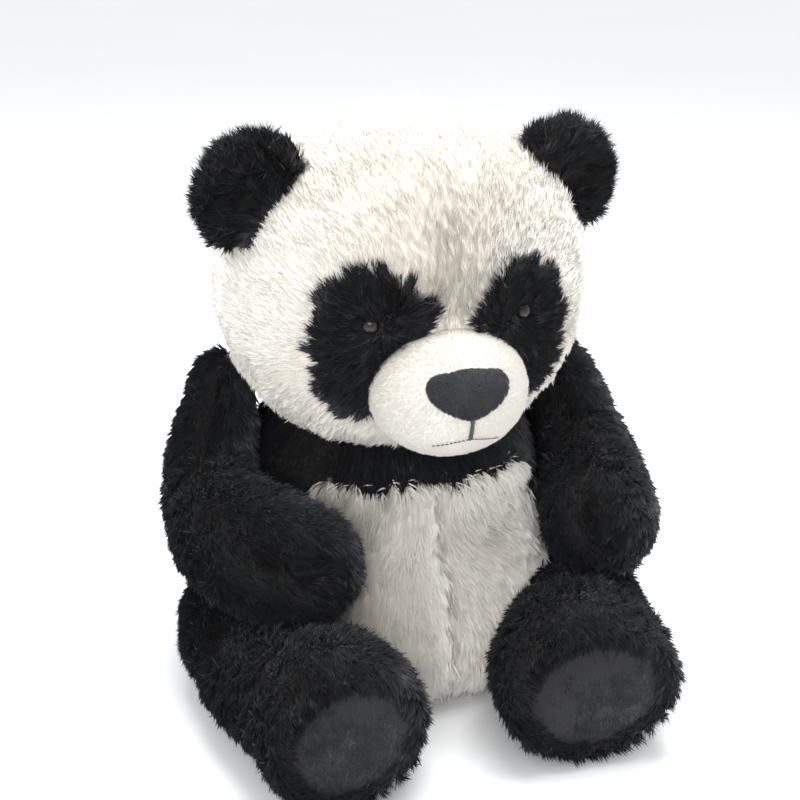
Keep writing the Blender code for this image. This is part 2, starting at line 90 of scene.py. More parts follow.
# The visible limbs' stations: centre, half width and half depth, root to tip. They are close to the
# CAD limbs' own but not the same; the arms start higher, up to 16 mm from the CAD arms.
ARM_STATIONS = {
    "right": [((-0.103, 0.010, 0.168), 0.017, 0.024), ((-0.108, 0.004, 0.150), 0.021, 0.031),
              ((-0.114, -0.006, 0.129), 0.024, 0.036), ((-0.118, -0.023, 0.110), 0.026, 0.038),
              ((-0.114, -0.054, 0.104), 0.030, 0.039), ((-0.098, -0.082, 0.102), 0.033, 0.036),
              ((-0.081, -0.098, 0.100), 0.031, 0.032)],
    "left": [((0.106, 0.008, 0.166), 0.019, 0.025), ((0.112, 0.002, 0.150), 0.023, 0.032),
             ((0.117, -0.008, 0.130), 0.025, 0.036), ((0.119, -0.026, 0.111), 0.027, 0.037),
             ((0.113, -0.060, 0.103), 0.030, 0.035), ((0.101, -0.096, 0.100), 0.032, 0.034)],
}
LEG_STATIONS = {
    "right": [((-0.094, 0.001, 0.033), 0.036, 0.032), ((-0.103, -0.045, 0.033), 0.040, 0.032),
              ((-0.099, -0.096, 0.034), 0.040, 0.033), ((-0.0865, -0.139, 0.041), 0.0395, 0.0395),
              ((-0.079, -0.168, 0.046), 0.043, 0.0455), ((-0.077, -0.184, 0.046), 0.041, 0.042)],
    "left": [((0.090, 0.001, 0.033), 0.036, 0.032), ((0.096, -0.045, 0.033), 0.040, 0.032),
             ((0.090, -0.096, 0.035), 0.040, 0.034), ((0.073, -0.138, 0.041), 0.044, 0.040),
             ((0.061, -0.166, 0.046), 0.049, 0.0455), ((0.059, -0.184, 0.046), 0.047, 0.042)],
}
LIMB_SET_BACK = 0.0018
HEAD_SET_BACK = 0.0036
MUZZLE_SET_BACK = 0.0012
HEAD_CENTRE_Z = 0.236
SEAT_CLEARANCE = 0.0012      # the lowest that a skin or the label may reach
EAR_SINK = {"left": 0.0075, "right": 0.0070}
BODY_ROOM = 0.0012           # a limb's skin stays this far outside the torso's skin


# ---- Node trees ------------------------
class Tree:
    """Builds nodes in a node tree, a material's or a modifier's, through one method."""

    def __init__(self, node_tree):
        self.nodes = node_tree.nodes
        self.links = node_tree.links

    def node(self, kind, settings=None, sockets=None, output=0):
        """Adds a node. Settings come first, then socket values or links by name or number."""
        made = self.nodes.new(kind)
        for name, value in (settings or {}).items():
            if name == "stops":
                self.set_stops(made.color_ramp, value)
            else:
                setattr(made, name, value)
        for key, value in (sockets or {}).items():
            self.feed(self.find(made.inputs, key), value)
        if not made.outputs:
            return made
        return Wire(self, self.find(made.outputs, output))

    @staticmethod
    def find(sockets, key):
        if isinstance(key, int):
            return [socket for socket in sockets if socket.enabled][key]
        return next(socket for socket in sockets if socket.name == key and socket.enabled)

    @staticmethod
    def set_stops(ramp, stops):
        while len(ramp.elements) < len(stops):
            ramp.elements.new(0.5)
        for element, (position, colour) in zip(ramp.elements, stops):
            element.position = position
            element.color = (*colour, 1.0)

    def feed(self, socket, value):
        if isinstance(value, Wire):
            self.links.new(value.socket, socket)
        else:
            socket.default_value = value

    def mix(self, factor, first, second):
        """A colour between two colours."""
        first = first if isinstance(first, Wire) else (*first, 1.0)
        second = second if isinstance(second, Wire) else (*second, 1.0)
        return self.node("ShaderNodeMix", {"data_type": "RGBA"}, {"Factor": factor, "A": first, "B": second},
                         "Result")

    def vector(self, operation, first, second=None, output=0):
        sockets = {0: first}
        if second is not None:
            sockets[1] = second
        return self.node("ShaderNodeVectorMath", {"operation": operation}, sockets, output)

    def scaled(self, vector, factor):
        return self.node("ShaderNodeVectorMath", {"operation": "SCALE"}, {0: vector, "Scale": factor})


class Wire:
    """One output socket, so that sums on sockets read as ordinary Python."""

    def __init__(self, tree, socket):
        self.tree = tree
        self.socket = socket

    def maths(self, operation, first, second):
        return self.tree.node("ShaderNodeMath", {"operation": operation}, {0: first, 1: second})

    def __add__(self, other):
        return self.maths("ADD", self, other)

    def __radd__(self, other):
        return self.maths("ADD", other, self)

    def __sub__(self, other):
        return self.maths("SUBTRACT", self, other)

    def __rsub__(self, other):
        return self.maths("SUBTRACT", other, self)

    def __mul__(self, other):
        return self.maths("MULTIPLY", self, other)

    def __rmul__(self, other):
        return self.maths("MULTIPLY", other, self)

    def __truediv__(self, other):
        return self.maths("DIVIDE", self, other)

    def __pow__(self, other):
        return self.maths("POWER", self, other)


class Finish(Tree):
    """A Principled material; constants go on its shader's own sockets."""

    def __init__(self, name, constants):
        self.material = bpy.data.materials.new(name)
        self.material.use_nodes = True
        super().__init__(self.material.node_tree)
        self.shader = self.nodes["Principled BSDF"]
        for socket, value in constants.items():
            self.shader.inputs[socket].default_value = value

    def drive(self, socket, wire):
        self.links.new(wire.socket, self.shader.inputs[socket])

    def place(self):
        return self.node("ShaderNodeTexCoord", output="Object")

    def noise(self, scale, detail=2.0, roughness=0.5):
        return self.node("ShaderNodeTexNoise", None,
                         {"Vector": self.place(), "Scale": scale, "Detail": detail, "Roughness": roughness})

    def attribute(self, name):
        return self.node("ShaderNodeAttribute", {"attribute_name": name}, output="Fac")

    def bump(self, height, strength, distance):
        return self.node("ShaderNodeBump", None,
                         {"Height": height, "Strength": strength, "Distance": distance})


# ---- Materials ------------------------
THROUGH = 0.45  # share of the light that a soft pale strand lets through


def pile_finish(name, shaded_root, tip, stain_and_sheen, roughness, sheen, soft=False):
    """Pile strands: darker towards the roots as painted shade deep in the pile, with each strand and each
    tuft a little different in tone, and a blue-grey painted sheen on some strands of black pile. Light also
    passes through the strands of soft pale pile."""
    finish = Finish(name, {"Roughness": roughness, "Sheen Weight": sheen, "Sheen Roughness": 0.4,
                           "Specular IOR Level": 0.35})
    along = finish.attribute("along")
    shade = finish.attribute("shade")
    patch = finish.noise(28.0)
    # Painted shade: each strand darkens from its tip down to its roots.
    colour = finish.mix(along ** 0.8, shaded_root, tip)
    # Some strands take the second colour at random: a cream tone on white pile, a blue-grey painted sheen on
    # black pile.
    colour = finish.mix(shade * 0.45, colour, stain_and_sheen)
    # Broad random patches lean towards the colour of the shaded roots.
    colour = finish.mix(patch * 0.25, colour, shaded_root)
    finish.drive("Base Color", colour)
    if soft:
        through = finish.nodes.new("ShaderNodeBsdfTranslucent")
        through.inputs["Color"].default_value = (*tip, 1.0)
        both = finish.node("ShaderNodeMixShader", None,
                           {"Fac": THROUGH, 1: Wire(finish, finish.shader.outputs[0]),
                            2: Wire(finish, through.outputs[0])})
        finish.links.new(both.socket, finish.nodes["Material Output"].inputs["Surface"])
    return finish.material


def shaded_backing_finish(name, dark, pale):
    """The knitted backing that shows between the roots of the pile, coloured as dark as the pile's shaded
    roots: painted shade among the roots.
    """
    finish = Finish(name, {"Roughness": 0.95, "Sheen Weight": 0.2})
    colour = finish.mix(finish.noise(420.0, 3.0), dark, pale)
    finish.drive("Base Color", colour)
    finish.drive("Normal", finish.bump(finish.noise(900.0), 0.4, 0.0004))
    return finish.material


def velour_finish(name, dark, pale, grain):
    """Short nap: fine mottled grain with broad brushed patches."""
    finish = Finish(name, {"Roughness": 0.9, "Sheen Weight": 0.35, "Sheen Roughness": 0.5})
    fine = finish.noise(grain, 4.0, 0.65)
    broad = finish.noise(45.0, 2.0)
    colour = finish.mix(fine * 0.7 + broad * 0.3, dark, pale)
    finish.drive("Base Color", colour)
    finish.drive("Normal", finish.bump(fine, 0.5, 0.0006))
    return finish.material


def thread_finish():
    finish = Finish("black_thread_finish", {"Roughness": 0.6, "Sheen Weight": 0.25})
    finish.drive("Base Color", finish.mix(finish.noise(1600.0), (0.010, 0.011, 0.013), (0.060, 0.066, 0.072)))
    return finish.material


def eye_finish():
    finish = Finish("eye_finish", {"Roughness": 0.18, "Coat Weight": 0.25, "Coat Roughness": 0.05,
                                   "Specular IOR Level": 0.35})
    finish.drive("Base Color", finish.mix(finish.noise(260.0), (0.004, 0.003, 0.002), (0.016, 0.009, 0.006)))
    return finish.material


def plain_cloth_finish(name, dark, pale, scale):
    """Plain cloth or fibre: crossed threads as two waves."""
    finish = Finish(name, {"Roughness": 0.85, "Sheen Weight": 0.2})
    place = finish.place()
    warp = finish.node("ShaderNodeTexWave", {"bands_direction": "X"}, {"Vector": place, "Scale": scale})
    weft = finish.node("ShaderNodeTexWave", {"bands_direction": "Y"}, {"Vector": place, "Scale": scale})
    weave = warp * 0.5 + weft * 0.5
    finish.drive("Base Color", finish.mix(weave, dark, pale))
    finish.drive("Normal", finish.bump(weave, 0.3, 0.0003))
    return finish.material


def fibre_finish(name, dark, pale):
    finish = Finish(name, {"Roughness": 1.0, "Sheen Weight": 0.3})
    tangle = finish.noise(140.0, 6.0, 0.7)
    finish.drive("Base Color", finish.mix(tangle, dark, pale))
    finish.drive("Normal", finish.bump(tangle, 0.8, 0.002))
    return finish.material


# The root colours are darker than the tips as painted shade deep in the pile; the tips carry the fur's own
# colour.
BLACK_SHADED_ROOT = (0.0035, 0.0035, 0.0040)
BLACK_TIP = (0.017, 0.0175, 0.020)
# A painted highlight: the blue-grey sheen that some black strands take.
BLUE_GREY_SHEEN = (0.046, 0.050, 0.058)
WHITE_SHADED_ROOT = (0.92, 0.86, 0.76)
WHITE_TIP = (0.98, 0.975, 0.96)
CREAM = (0.97, 0.93, 0.83)

# In every pile and nap below, the first colour is its roots', darker than its tip as painted shade.
FINISHES = {
    "black_pile": pile_finish("black_pile", BLACK_SHADED_ROOT, BLACK_TIP, BLUE_GREY_SHEEN, 0.45, 0.08),
    "white_pile": pile_finish("white_pile", WHITE_SHADED_ROOT, WHITE_TIP, CREAM, 0.75, 0.30, soft=True),
    # The backings, and the velour under the muzzle's nap, are as dark as their pile's shaded roots: painted
    # shade among the roots.
    "black_backing": shaded_backing_finish("black_backing", (0.003, 0.003, 0.004), (0.008, 0.008, 0.009)),
    "white_backing": shaded_backing_finish("white_backing", (0.84, 0.80, 0.72), (0.93, 0.90, 0.84)),
    "muzzle_velour": velour_finish("muzzle_velour", (0.74, 0.72, 0.67), (0.86, 0.84, 0.80), 700.0),
    "muzzle_nap": pile_finish("muzzle_nap", (0.80, 0.775, 0.72), (0.89, 0.87, 0.83), (0.84, 0.80, 0.73),
                              0.9, 0.12, soft=True),
    "nose_fleece": velour_finish("nose_fleece", (0.003, 0.003, 0.004), (0.030, 0.031, 0.036), 900.0),
    "nose_nap": pile_finish("nose_nap", (0.004, 0.004, 0.005), (0.040, 0.041, 0.046),
                            (0.075, 0.078, 0.086), 0.8, 0.1),
    "sole_velour": velour_finish("sole_velour", (0.005, 0.005, 0.006), (0.020, 0.021, 0.022), 650.0),
    "sole_nap": pile_finish("sole_nap", (0.004, 0.004, 0.005), (0.018, 0.019, 0.020),
                            (0.030, 0.032, 0.034), 0.7, 0.08),
    "thread": thread_finish(),
    "eye": eye_finish(),
    "stuffing": fibre_finish("stuffing_fibre", (0.80, 0.80, 0.79), (0.95, 0.95, 0.94)),
    "pouch": plain_cloth_finish("pouch_cloth", (0.60, 0.62, 0.65), (0.78, 0.80, 0.82), 1500.0),
    "label": plain_cloth_finish("label_tape", (0.80, 0.80, 0.79), (0.95, 0.95, 0.94), 3000.0),
    "washer": fibre_finish("washer_plastic", (0.74, 0.74, 0.72), (0.84, 0.84, 0.82)),
}


# ---- Forms ------------------------
def box_of(*nodes):
    """The lowest and highest corners of several CAD nodes together."""
    corners = [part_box(node) for node in nodes]
    low = Vector([min(pair[0][i] for pair in corners) for i in range(3)])
    high = Vector([max(pair[1][i] for pair in corners) for i in range(3)])
    return low, high


HEAD_LOW, HEAD_HIGH = box_of("head_front_panel", "head_back_panel")
HEAD_CENTRE = np.array([0.0, (HEAD_LOW.y + HEAD_HIGH.y) / 2, HEAD_CENTRE_Z])
HEAD_RADII = np.array([HEAD_HIGH.x, (HEAD_HIGH.y - HEAD_LOW.y) / 2, HEAD_HIGH.z - HEAD_CENTRE[2]])
TORSO_CENTRE = np.array([0.0, 0.0, 0.088])
TORSO_RADII = np.array([0.092, 0.092, 0.096])
TORSO_LOW_RADIUS = 0.125     # the vertical radius below the centre, where the pellets fill the seat out
MUZZLE_CENTRE = np.array([0.0, -0.106, 0.199])
MUZZLE_RADII = np.array([0.044, 0.040, 0.036])


def smooth_step(low, high, value):
    t = np.clip((value - low) / (high - low), 0.0, 1.0)
    return t * t * (3.0 - 2.0 * t)


def bell(points, centre, width):
    """1 at the centre, fading to 0 over about twice the width."""
    distance = np.linalg.norm(points - np.asarray(centre), axis=1)
    return np.exp(-(distance / width) ** 2)


def ball(level):
    """Points and triangles of a unit sphere of even triangles."""
    bm = bmesh.new()
    bmesh.ops.create_icosphere(bm, subdivisions=level, radius=1.0)
    points = np.array([v.co[:] for v in bm.verts])
    points /= np.linalg.norm(points, axis=1)[:, None]
    faces = [[v.index for v in f.verts] for f in bm.faces]
    bm.free()
    return points, faces


def full_form(centre, radii, power, level=6):
    """A rounded form around centre, with its triangles."""
    unit, faces = ball(level)
    reach = (np.abs(unit) ** power).sum(axis=1) ** (-1.0 / power)
    return unit * reach[:, None] * radii + centre, faces


def placed(name, data):
    made = bpy.data.objects.new(name, data)
    bpy.context.scene.collection.objects.link(made)
    return made


def mesh_object(name, points, faces, finish):
    mesh = bpy.data.meshes.new(name)
    mesh.from_pydata([tuple(p) for p in points], [], faces)
    mesh.update()
    mesh.shade_smooth()
    mesh.materials.append(FINISHES[finish])
    return placed(name, mesh)


def normals_of(points, faces):
    tri = np.array(faces)[:, :3]
    a, b, c = points[tri[:, 0]], points[tri[:, 1]], points[tri[:, 2]]
    face = np.cross(b - a, c - a)
    total = np.zeros_like(points)
    for k in range(3):
        np.add.at(total, tri[:, k], face)
    return total / np.maximum(np.linalg.norm(total, axis=1), 1e-12)[:, None]


def unit_rows(vectors):
    return vectors / np.maximum(np.linalg.norm(vectors, axis=1), 1e-9)[:, None]


def put_attribute(obj, name, values):
    values = np.asarray(values, dtype=np.float32)
    kind = "FLOAT_VECTOR" if values.ndim == 2 else "FLOAT"
    layer = obj.data.attributes.new(name, kind, "POINT")
    layer.data.foreach_set("vector" if kind == "FLOAT_VECTOR" else "value", values.ravel())


def lay(skin, comb, grow):
    """The two attributes that the pile reads."""
    put_attribute(skin, "comb", comb)
    put_attribute(skin, "grow", grow)


def inside_outline(points, outline, sign=1.0):
    """Which points lie inside an outline of (x, z), with x on the side of sign."""
    x = points[:, 0] * sign
    z = points[:, 2]
    inside = np.zeros(len(points), bool)
    for (x1, z1), (x2, z2) in zip(outline, outline[1:] + outline[:1]):
        crosses = (z1 > z) != (z2 > z)
        at = (x2 - x1) * (z - z1) / ((z2 - z1) if z2 != z1 else 1e-12) + x1
        inside ^= crosses & (x < at)
    return inside


def panel(name, points, faces, keep, finish, thickness=0.0012, lift=0.0):
    """The faces whose middle passes keep, as a closed sheet of the given thickness under the surface."""
    corners = np.array(faces)
    middles = points[corners].mean(axis=1)
    chosen = corners[keep(middles)]
    used, renumbered = np.unique(chosen, return_inverse=True)
    normals = normals_of(points, faces)
    top = points[used] + normals[used] * lift
    under = top - normals[used] * thickness
    top_faces = renumbered.reshape(-1, 3)
    count = len(used)
    edges = {}
    for a, b, c in top_faces:
        for edge in ((a, b), (b, c), (c, a)):
            edges[edge] = True
    rim = [(a, b) for a, b in edges if (b, a) not in edges]
    solid = [tuple(f) for f in top_faces.tolist()]
    solid += [(f[2] + count, f[1] + count, f[0] + count) for f in top_faces.tolist()]
    solid += [(b, a, a + count, b + count) for a, b in rim]
    made = mesh_object(name, np.vstack([top, under]), solid, finish)
    return made, used


# ---- Pile ------------------------
def strand_object():
    """One strand, 1 long and 1 wide: two triangles that taper and bend over towards its -Y side."""
    points = [(-0.5, 0.0, 0.0), (0.5, 0.0, 0.0), (0.34, -0.13, 0.58), (0.0, -0.42, 1.0)]
    mesh = bpy.data.meshes.new("strand")
    mesh.from_pydata(points, [], [(0, 1, 2), (0, 2, 3)])
    mesh.shade_smooth()
    made = bpy.data.objects.new("strand", mesh)
    bpy.context.scene.collection.objects.link(made)
    put_attribute(made, "along", [z for x, y, z in points])
    return made


PILE_INPUTS = [
    ("Strand", "NodeSocketObject"), ("Density", "NodeSocketFloat"), ("Length", "NodeSocketFloat"),
    ("Width", "NodeSocketFloat"), ("Lean", "NodeSocketFloat"), ("Tuft Size", "NodeSocketFloat"),
    ("Tuft Pull", "NodeSocketFloat"), ("Wave", "NodeSocketFloat"), ("Stray", "NodeSocketFloat"),
    ("Floor", "NodeSocketFloat"), ("Seed", "NodeSocketInt"), ("Material", "NodeSocketMaterial"),
]


def pile_tree():
    """Strands over a skin: combed along its comb attribute, drawn into tufts, with a few strays."""
    group = bpy.data.node_groups.new("pile", "GeometryNodeTree")
    group.interface.new_socket("Geometry", in_out="INPUT", socket_type="NodeSocketGeometry")
    for name, kind in PILE_INPUTS:
        group.interface.new_socket(name, in_out="INPUT", socket_type=kind)
    group.interface.new_socket("Geometry", in_out="OUTPUT", socket_type="NodeSocketGeometry")
    tree = Tree(group)
    inputs = tree.nodes.new("NodeGroupInput")

    def given(name):
        return Wire(tree, inputs.outputs[name])

    def named(name, kind):
        return tree.node("GeometryNodeInputNamedAttribute", {"data_type": kind}, {"Name": name}, "Attribute")

    def random(kind, low, high, offset):
        seed = tree.node("ShaderNodeMath", {"operation": "ADD"}, {0: given("Seed"), 1: float(offset)})
        return tree.node("FunctionNodeRandomValue", {"data_type": kind},
                         {"Min": low, "Max": high, "Seed": seed}, "Value")

    scatter = tree.nodes.new("GeometryNodeDistributePointsOnFaces")
    scatter.distribute_method = "RANDOM"
    tree.links.new(given("Geometry").socket, scatter.inputs["Mesh"])
    thick = given("Density") * named("grow", "FLOAT")
    tree.links.new(thick.socket, scatter.inputs["Density"])
    tree.links.new(given("Seed").socket, scatter.inputs["Seed"])
    outward = Wire(tree, scatter.outputs["Normal"])

    place = tree.node("GeometryNodeInputPosition")
    comb = named("comb", "FLOAT_VECTOR")
    drift = tree.node("ShaderNodeTexNoise", None, {"Vector": place, "Scale": 60.0, "Detail": 1.0}, "Color")
    drift = tree.vector("SUBTRACT", drift, (0.5, 0.5, 0.5))
    shifted = tree.vector("ADD", place, tree.scaled(drift, 0.006))
    tuft = tree.node("ShaderNodeTexVoronoi", None,
                     {"Vector": shifted, "Scale": tree.node("ShaderNodeMath", {"operation": "DIVIDE"},
                                                            {0: 1.0, 1: given("Tuft Size")})}, "Position")
    to_tuft = tree.scaled(tree.vector("SUBTRACT", tuft, shifted), given("Tuft Pull") / given("Tuft Size"))
    stray = tree.scaled(random("FLOAT_VECTOR", (-1.0, -1.0, -1.0), (1.0, 1.0, 1.0), 11), given("Stray"))
    wave = tree.scaled(drift, given("Wave"))
    direction = tree.scaled(outward, 1.0 - given("Lean"))
    for part in (tree.scaled(comb, given("Lean")), to_tuft, stray, wave):
        direction = tree.vector("ADD", direction, part)
    # No strand may point back into the skin.
    inward = tree.vector("DOT_PRODUCT", direction, outward, "Value")
    lift = tree.node("ShaderNodeMath", {"operation": "MAXIMUM"}, {0: 0.18 - inward, 1: 0.0})
    direction = tree.vector("ADD", direction, tree.scaled(outward, lift))
    turn = tree.node("FunctionNodeAxesToRotation", {"primary_axis": "Z", "secondary_axis": "Y"},
                     {"Primary Axis": direction, "Secondary Axis": outward})
    length = given("Length") * random("FLOAT", 0.72, 1.18, 5) * (0.45 + 0.55 * named("grow", "FLOAT"))
    width = given("Width") * random("FLOAT", 0.7, 1.3, 7)
    scale = tree.node("ShaderNodeCombineXYZ", None, {"X": width, "Y": length, "Z": length})
    blade = tree.node("GeometryNodeObjectInfo", {"transform_space": "ORIGINAL"},
                      {"Object": given("Strand")}, "Geometry")
    strands = tree.node("GeometryNodeInstanceOnPoints", None,
                        {"Points": Wire(tree, scatter.outputs["Points"]), "Instance": blade,
                         "Rotation": turn, "Scale": scale})
    shaded = tree.node("GeometryNodeStoreNamedAttribute", {"data_type": "FLOAT", "domain": "INSTANCE"},
                       {"Geometry": strands, "Name": "shade", "Value": random("FLOAT", 0.0, 1.0, 3)})
    real = tree.node("GeometryNodeRealizeInstances", None, {"Geometry": shaded})
    parts = tree.nodes.new("ShaderNodeSeparateXYZ")
    tree.links.new(tree.node("GeometryNodeInputPosition").socket, parts.inputs[0])
    height = tree.node("ShaderNodeMath", {"operation": "MAXIMUM"},
                       {0: Wire(tree, parts.outputs["Z"]), 1: given("Floor")})
    above = tree.node("ShaderNodeCombineXYZ", None,
                      {"X": Wire(tree, parts.outputs["X"]), "Y": Wire(tree, parts.outputs["Y"]), "Z": height})
    kept = tree.node("GeometryNodeSetPosition", None, {"Geometry": real, "Position": above})
    painted = tree.node("GeometryNodeSetMaterial", None, {"Geometry": kept, "Material": given("Material")})
    end = tree.nodes.new("NodeGroupOutput")
    tree.links.new(painted.socket, end.inputs[0])
    return group


# How each pile stands: strands per square millimetre, length and width, how far it leans along its
# comb, the size and pull of its tufts, and how much it waves and strays. Lengths are in metres.
USUAL_PILE = {"width": 0.00042, "lean": 0.50, "tuft": 0.0045, "pull": 0.30, "wave": 0.9, "stray": 0.20}
HEAD_PILE = {"length": 0.0080, "width": 0.00048, "lean": 0.66, "tuft": 0.0038, "pull": 0.24, "wave": 0.7}
TORSO_PILE = {"width": 0.00048, "lean": 0.66, "tuft": 0.005, "pull": 0.26, "wave": 0.8, "stray": 0.16}
LIMB_PILE = {"length": 0.0086, "tuft": 0.007, "pull": 0.36, "wave": 1.1}
PILES = {
    "head_front": {**HEAD_PILE, "density": 1.7},
    "head_back": {**HEAD_PILE, "density": 1.15},
    "front_black": {**TORSO_PILE, "density": 2.6, "length": 0.0088},
    "front_white": {**TORSO_PILE, "density": 2.6, "length": 0.0110},
    "back_black": {**TORSO_PILE, "density": 1.2, "length": 0.0088},
    "back_white": {**TORSO_PILE, "density": 1.2, "length": 0.0110},
    "arm": {**LIMB_PILE, "density": 2.3},
    "leg": {**LIMB_PILE, "density": 1.9},
    "ear": {"density": 6.0, "length": 0.0124, "lean": 0.52, "tuft": 0.006, "pull": 0.45},
    "patch": {"density": 5.0, "length": 0.0092, "lean": 0.56, "tuft": 0.0052, "pull": 0.42},
    "muzzle": {"density": 4.2, "length": 0.0024, "width": 0.00034, "lean": 0.68, "tuft": 0.003, "pull": 0.12,
               "wave": 0.5, "stray": 0.25},
    "nose": {"density": 9.0, "length": 0.0013, "width": 0.0003, "lean": 0.5, "tuft": 0.0018, "pull": 0.6,
             "wave": 1.2, "stray": 0.4},
    "sole": {"density": 3.8, "length": 0.0021, "width": 0.00034, "lean": 0.7, "tuft": 0.005, "pull": 0.25,
             "wave": 0.9, "stray": 0.25},
    "tail": {"density": 2.0, "length": 0.0110},
}

STRAND = strand_object()
PILE_TREE = pile_tree()


def modifier_result(obj, tree, values):
    """The evaluated mesh of obj with the tree as its modifier, whose inputs are set by identifier."""
    modifier = obj.modifiers.new("rule", "NODES")
    modifier.node_group = tree
    for item in tree.interface.items_tree:
        if item.item_type == "SOCKET" and item.in_out == "INPUT" and item.name in values:
            modifier[item.identifier] = values[item.name]
    evaluated = obj.evaluated_get(bpy.context.evaluated_depsgraph_get())
    mesh = bpy.data.meshes.new_from_object(evaluated)
    obj.modifiers.remove(modifier)
    return mesh


def grow_pile(name, skin, finish, kind, seed):
    """Real strands over a skin, as a plain mesh."""
    pile = {**USUAL_PILE, **PILES[kind]}
    values = {"Strand": STRAND, "Density": pile["density"] * 1e6, "Length": pile["length"],
              "Width": pile["width"], "Lean": pile["lean"], "Tuft Size": pile["tuft"],
              "Tuft Pull": pile["pull"], "Wave": pile["wave"], "Stray": pile["stray"], "Floor": FLOOR,
              "Seed": seed, "Material": FINISHES[finish]}
    mesh = modifier_result(skin, PILE_TREE, values)
    mesh.name = name
    for extra in ("comb", "grow"):
        layer = mesh.attributes.get(extra)
        if layer is not None:
            mesh.attributes.remove(layer)
    return placed(name, mesh)


def joint_named(name):
    return next(joint for joint in frame["joints"] if joint["name"] == name)


def settle(skin, body, nodes=()):
    """A finished piece rides its body and stands for its CAD nodes."""
    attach(skin, body)
    if nodes:
        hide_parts(*nodes)


# ---- Head ------------------------
def head_surface():
    points, faces = full_form(HEAD_CENTRE, HEAD_RADII - HEAD_SET_BACK, HEAD_POWER, level=5)
    # Fuller cheeks and brow leave the eyes and the bridge of the nose a little sunk.
    inward = unit_rows(HEAD_CENTRE - points)
    for sign in (1.0, -1.0):
        points = points - inward * bell(points, (sign * 0.062, -0.085, 0.190), 0.030)[:, None] * 0.0024
    points = points - inward * bell(points, (0.0, -0.110, 0.285), 0.034)[:, None] * 0.0025
    return points, faces


def head_comb(points):
    """Brushed away from the bridge of the nose: up over the brow and crown, down over the cheeks."""
    from_bridge = points - np.array([0.0, -0.125, 0.205])
    down = np.array([0.0, 0.0, -1.0])
    cheeks = smooth_step(0.235, 0.19, points[:, 2])[:, None]
    return unit_rows(unit_rows(from_bridge) * (1.0 - 0.5 * cheeks) + down * 0.7 * cheeks)


def beyond_outline(points, outline, sign):
    """How far each point lies from an outline's edge, seen from the front."""
    seen = np.stack([points[:, 0] * sign, points[:, 2]], axis=1)
    nearest = np.full(len(points), 1.0)
    for start, end in zip(outline, outline[1:] + outline[:1]):
        start, end = np.array(start), np.array(end)
        edge = end - start
        share = np.clip(((seen - start) @ edge) / edge.dot(edge), 0.0, 1.0)
        nearest = np.minimum(nearest, np.linalg.norm(seen - start - share[:, None] * edge, axis=1))
    return nearest


def away_from_patches(points, comb):
    """White pile beside an eye patch lies away from it, so that the patch keeps its ragged edge."""
    for side, sign in (("left", 1.0), ("right", -1.0)):
        edge = beyond_outline(points, PATCHES[side], sign)
        near = np.exp(-(edge / 0.009) ** 2) * (points[:, 1] < HEAD_CENTRE[1])
        middle = np.array([sign * 0.044, -0.10, 0.226])
        outward = unit_rows(points - middle)
        comb = comb * (1.0 - near[:, None]) + outward * near[:, None] * 1.1
    return comb


def tangent_to(normals, vectors):
    along = (vectors * normals).sum(axis=1)[:, None]
    return unit_rows(vectors - normals * along)


def near_eye(points):
    """1 on the eyes, 0 away from them."""
    cover = np.zeros(len(points))
    for sign in (1.0, -1.0):
        across = np.hypot(points[:, 0] - sign * EYE_X, points[:, 2] - EYE_Z)
        facing = points[:, 1] < HEAD_CENTRE[1]
        cover = np.maximum(cover, (1.0 - smooth_step(0.0016, 0.0042, across)) * facing)
    return cover


def in_patch(points):
    front = points[:, 1] < HEAD_CENTRE[1]
    patches = inside_outline(points, PATCHES["left"], 1.0) | inside_outline(points, PATCHES["right"], -1.0)
    return patches & front


def make_head():
    points, faces = head_surface()
    normals = normals_of(points, faces)
    comb = tangent_to(normals, away_from_patches(points, head_comb(points)))
    muzzle_room = (((points - MUZZLE_CENTRE) / (MUZZLE_RADII - 0.002)) ** 2).sum(axis=1) < 1.0
    sunk = smooth_step(0.150, 0.142, points[:, 2])
    bare = np.clip(in_patch(points) * 1.0 + muzzle_room * 1.0, 0.0, 1.0)
    grow = (1.0 - bare) * (1.0 - 0.85 * sunk)
    sides = {"head_front": lambda middle: middle[:, 1] < HEAD_SEAM_Y,
             "head_back": lambda middle: middle[:, 1] >= HEAD_SEAM_Y}
    for seed, (name, keep) in enumerate(sides.items()):
        skin, used = panel(name + "_cover", points, faces, keep, "white_backing")
        with_attributes(skin, used, comb, grow)
        settle(skin, "head", [name + "_panel"])
        pile = grow_pile(name + "_pile", skin, "white_pile", name, seed + 1)
        settle(pile, "head")
    for side, sign in (("left", 1.0), ("right", -1.0)):
        make_patch(side, sign, points, faces)
        make_eye(side, sign)


def with_attributes(skin, used, comb, grow):
    """Gives a panel its comb and grow; its under side grows nothing."""
    lay(skin, np.vstack([comb[used], comb[used]]), np.concatenate([grow[used], np.zeros(len(used))]))


def make_patch(side, sign, points, faces):
    """Black pile let into the face, brushed out from the eye and thin over the eye itself."""
    def keep(middle):
        return inside_outline(middle, PATCHES[side], sign) & (middle[:, 1] < HEAD_CENTRE[1])

    skin, used = panel("eye_patch_cover_" + side, points, faces, keep, "black_backing", lift=0.0005)
    from_eye = points - np.array([sign * EYE_X, -0.113, EYE_Z])
    normals = normals_of(points, faces)
    brushed = tangent_to(normals, 0.75 * unit_rows(from_eye) + np.array([sign * 0.25, 0.0, 0.35]))
    grow = 1.0 - near_eye(points)
    with_attributes(skin, used, brushed, grow)
    settle(skin, "head", ["eye_patch_" + side])
    pile = grow_pile("eye_patch_pile_" + side, skin, "black_pile", "patch", 11)
    settle(pile, "head")


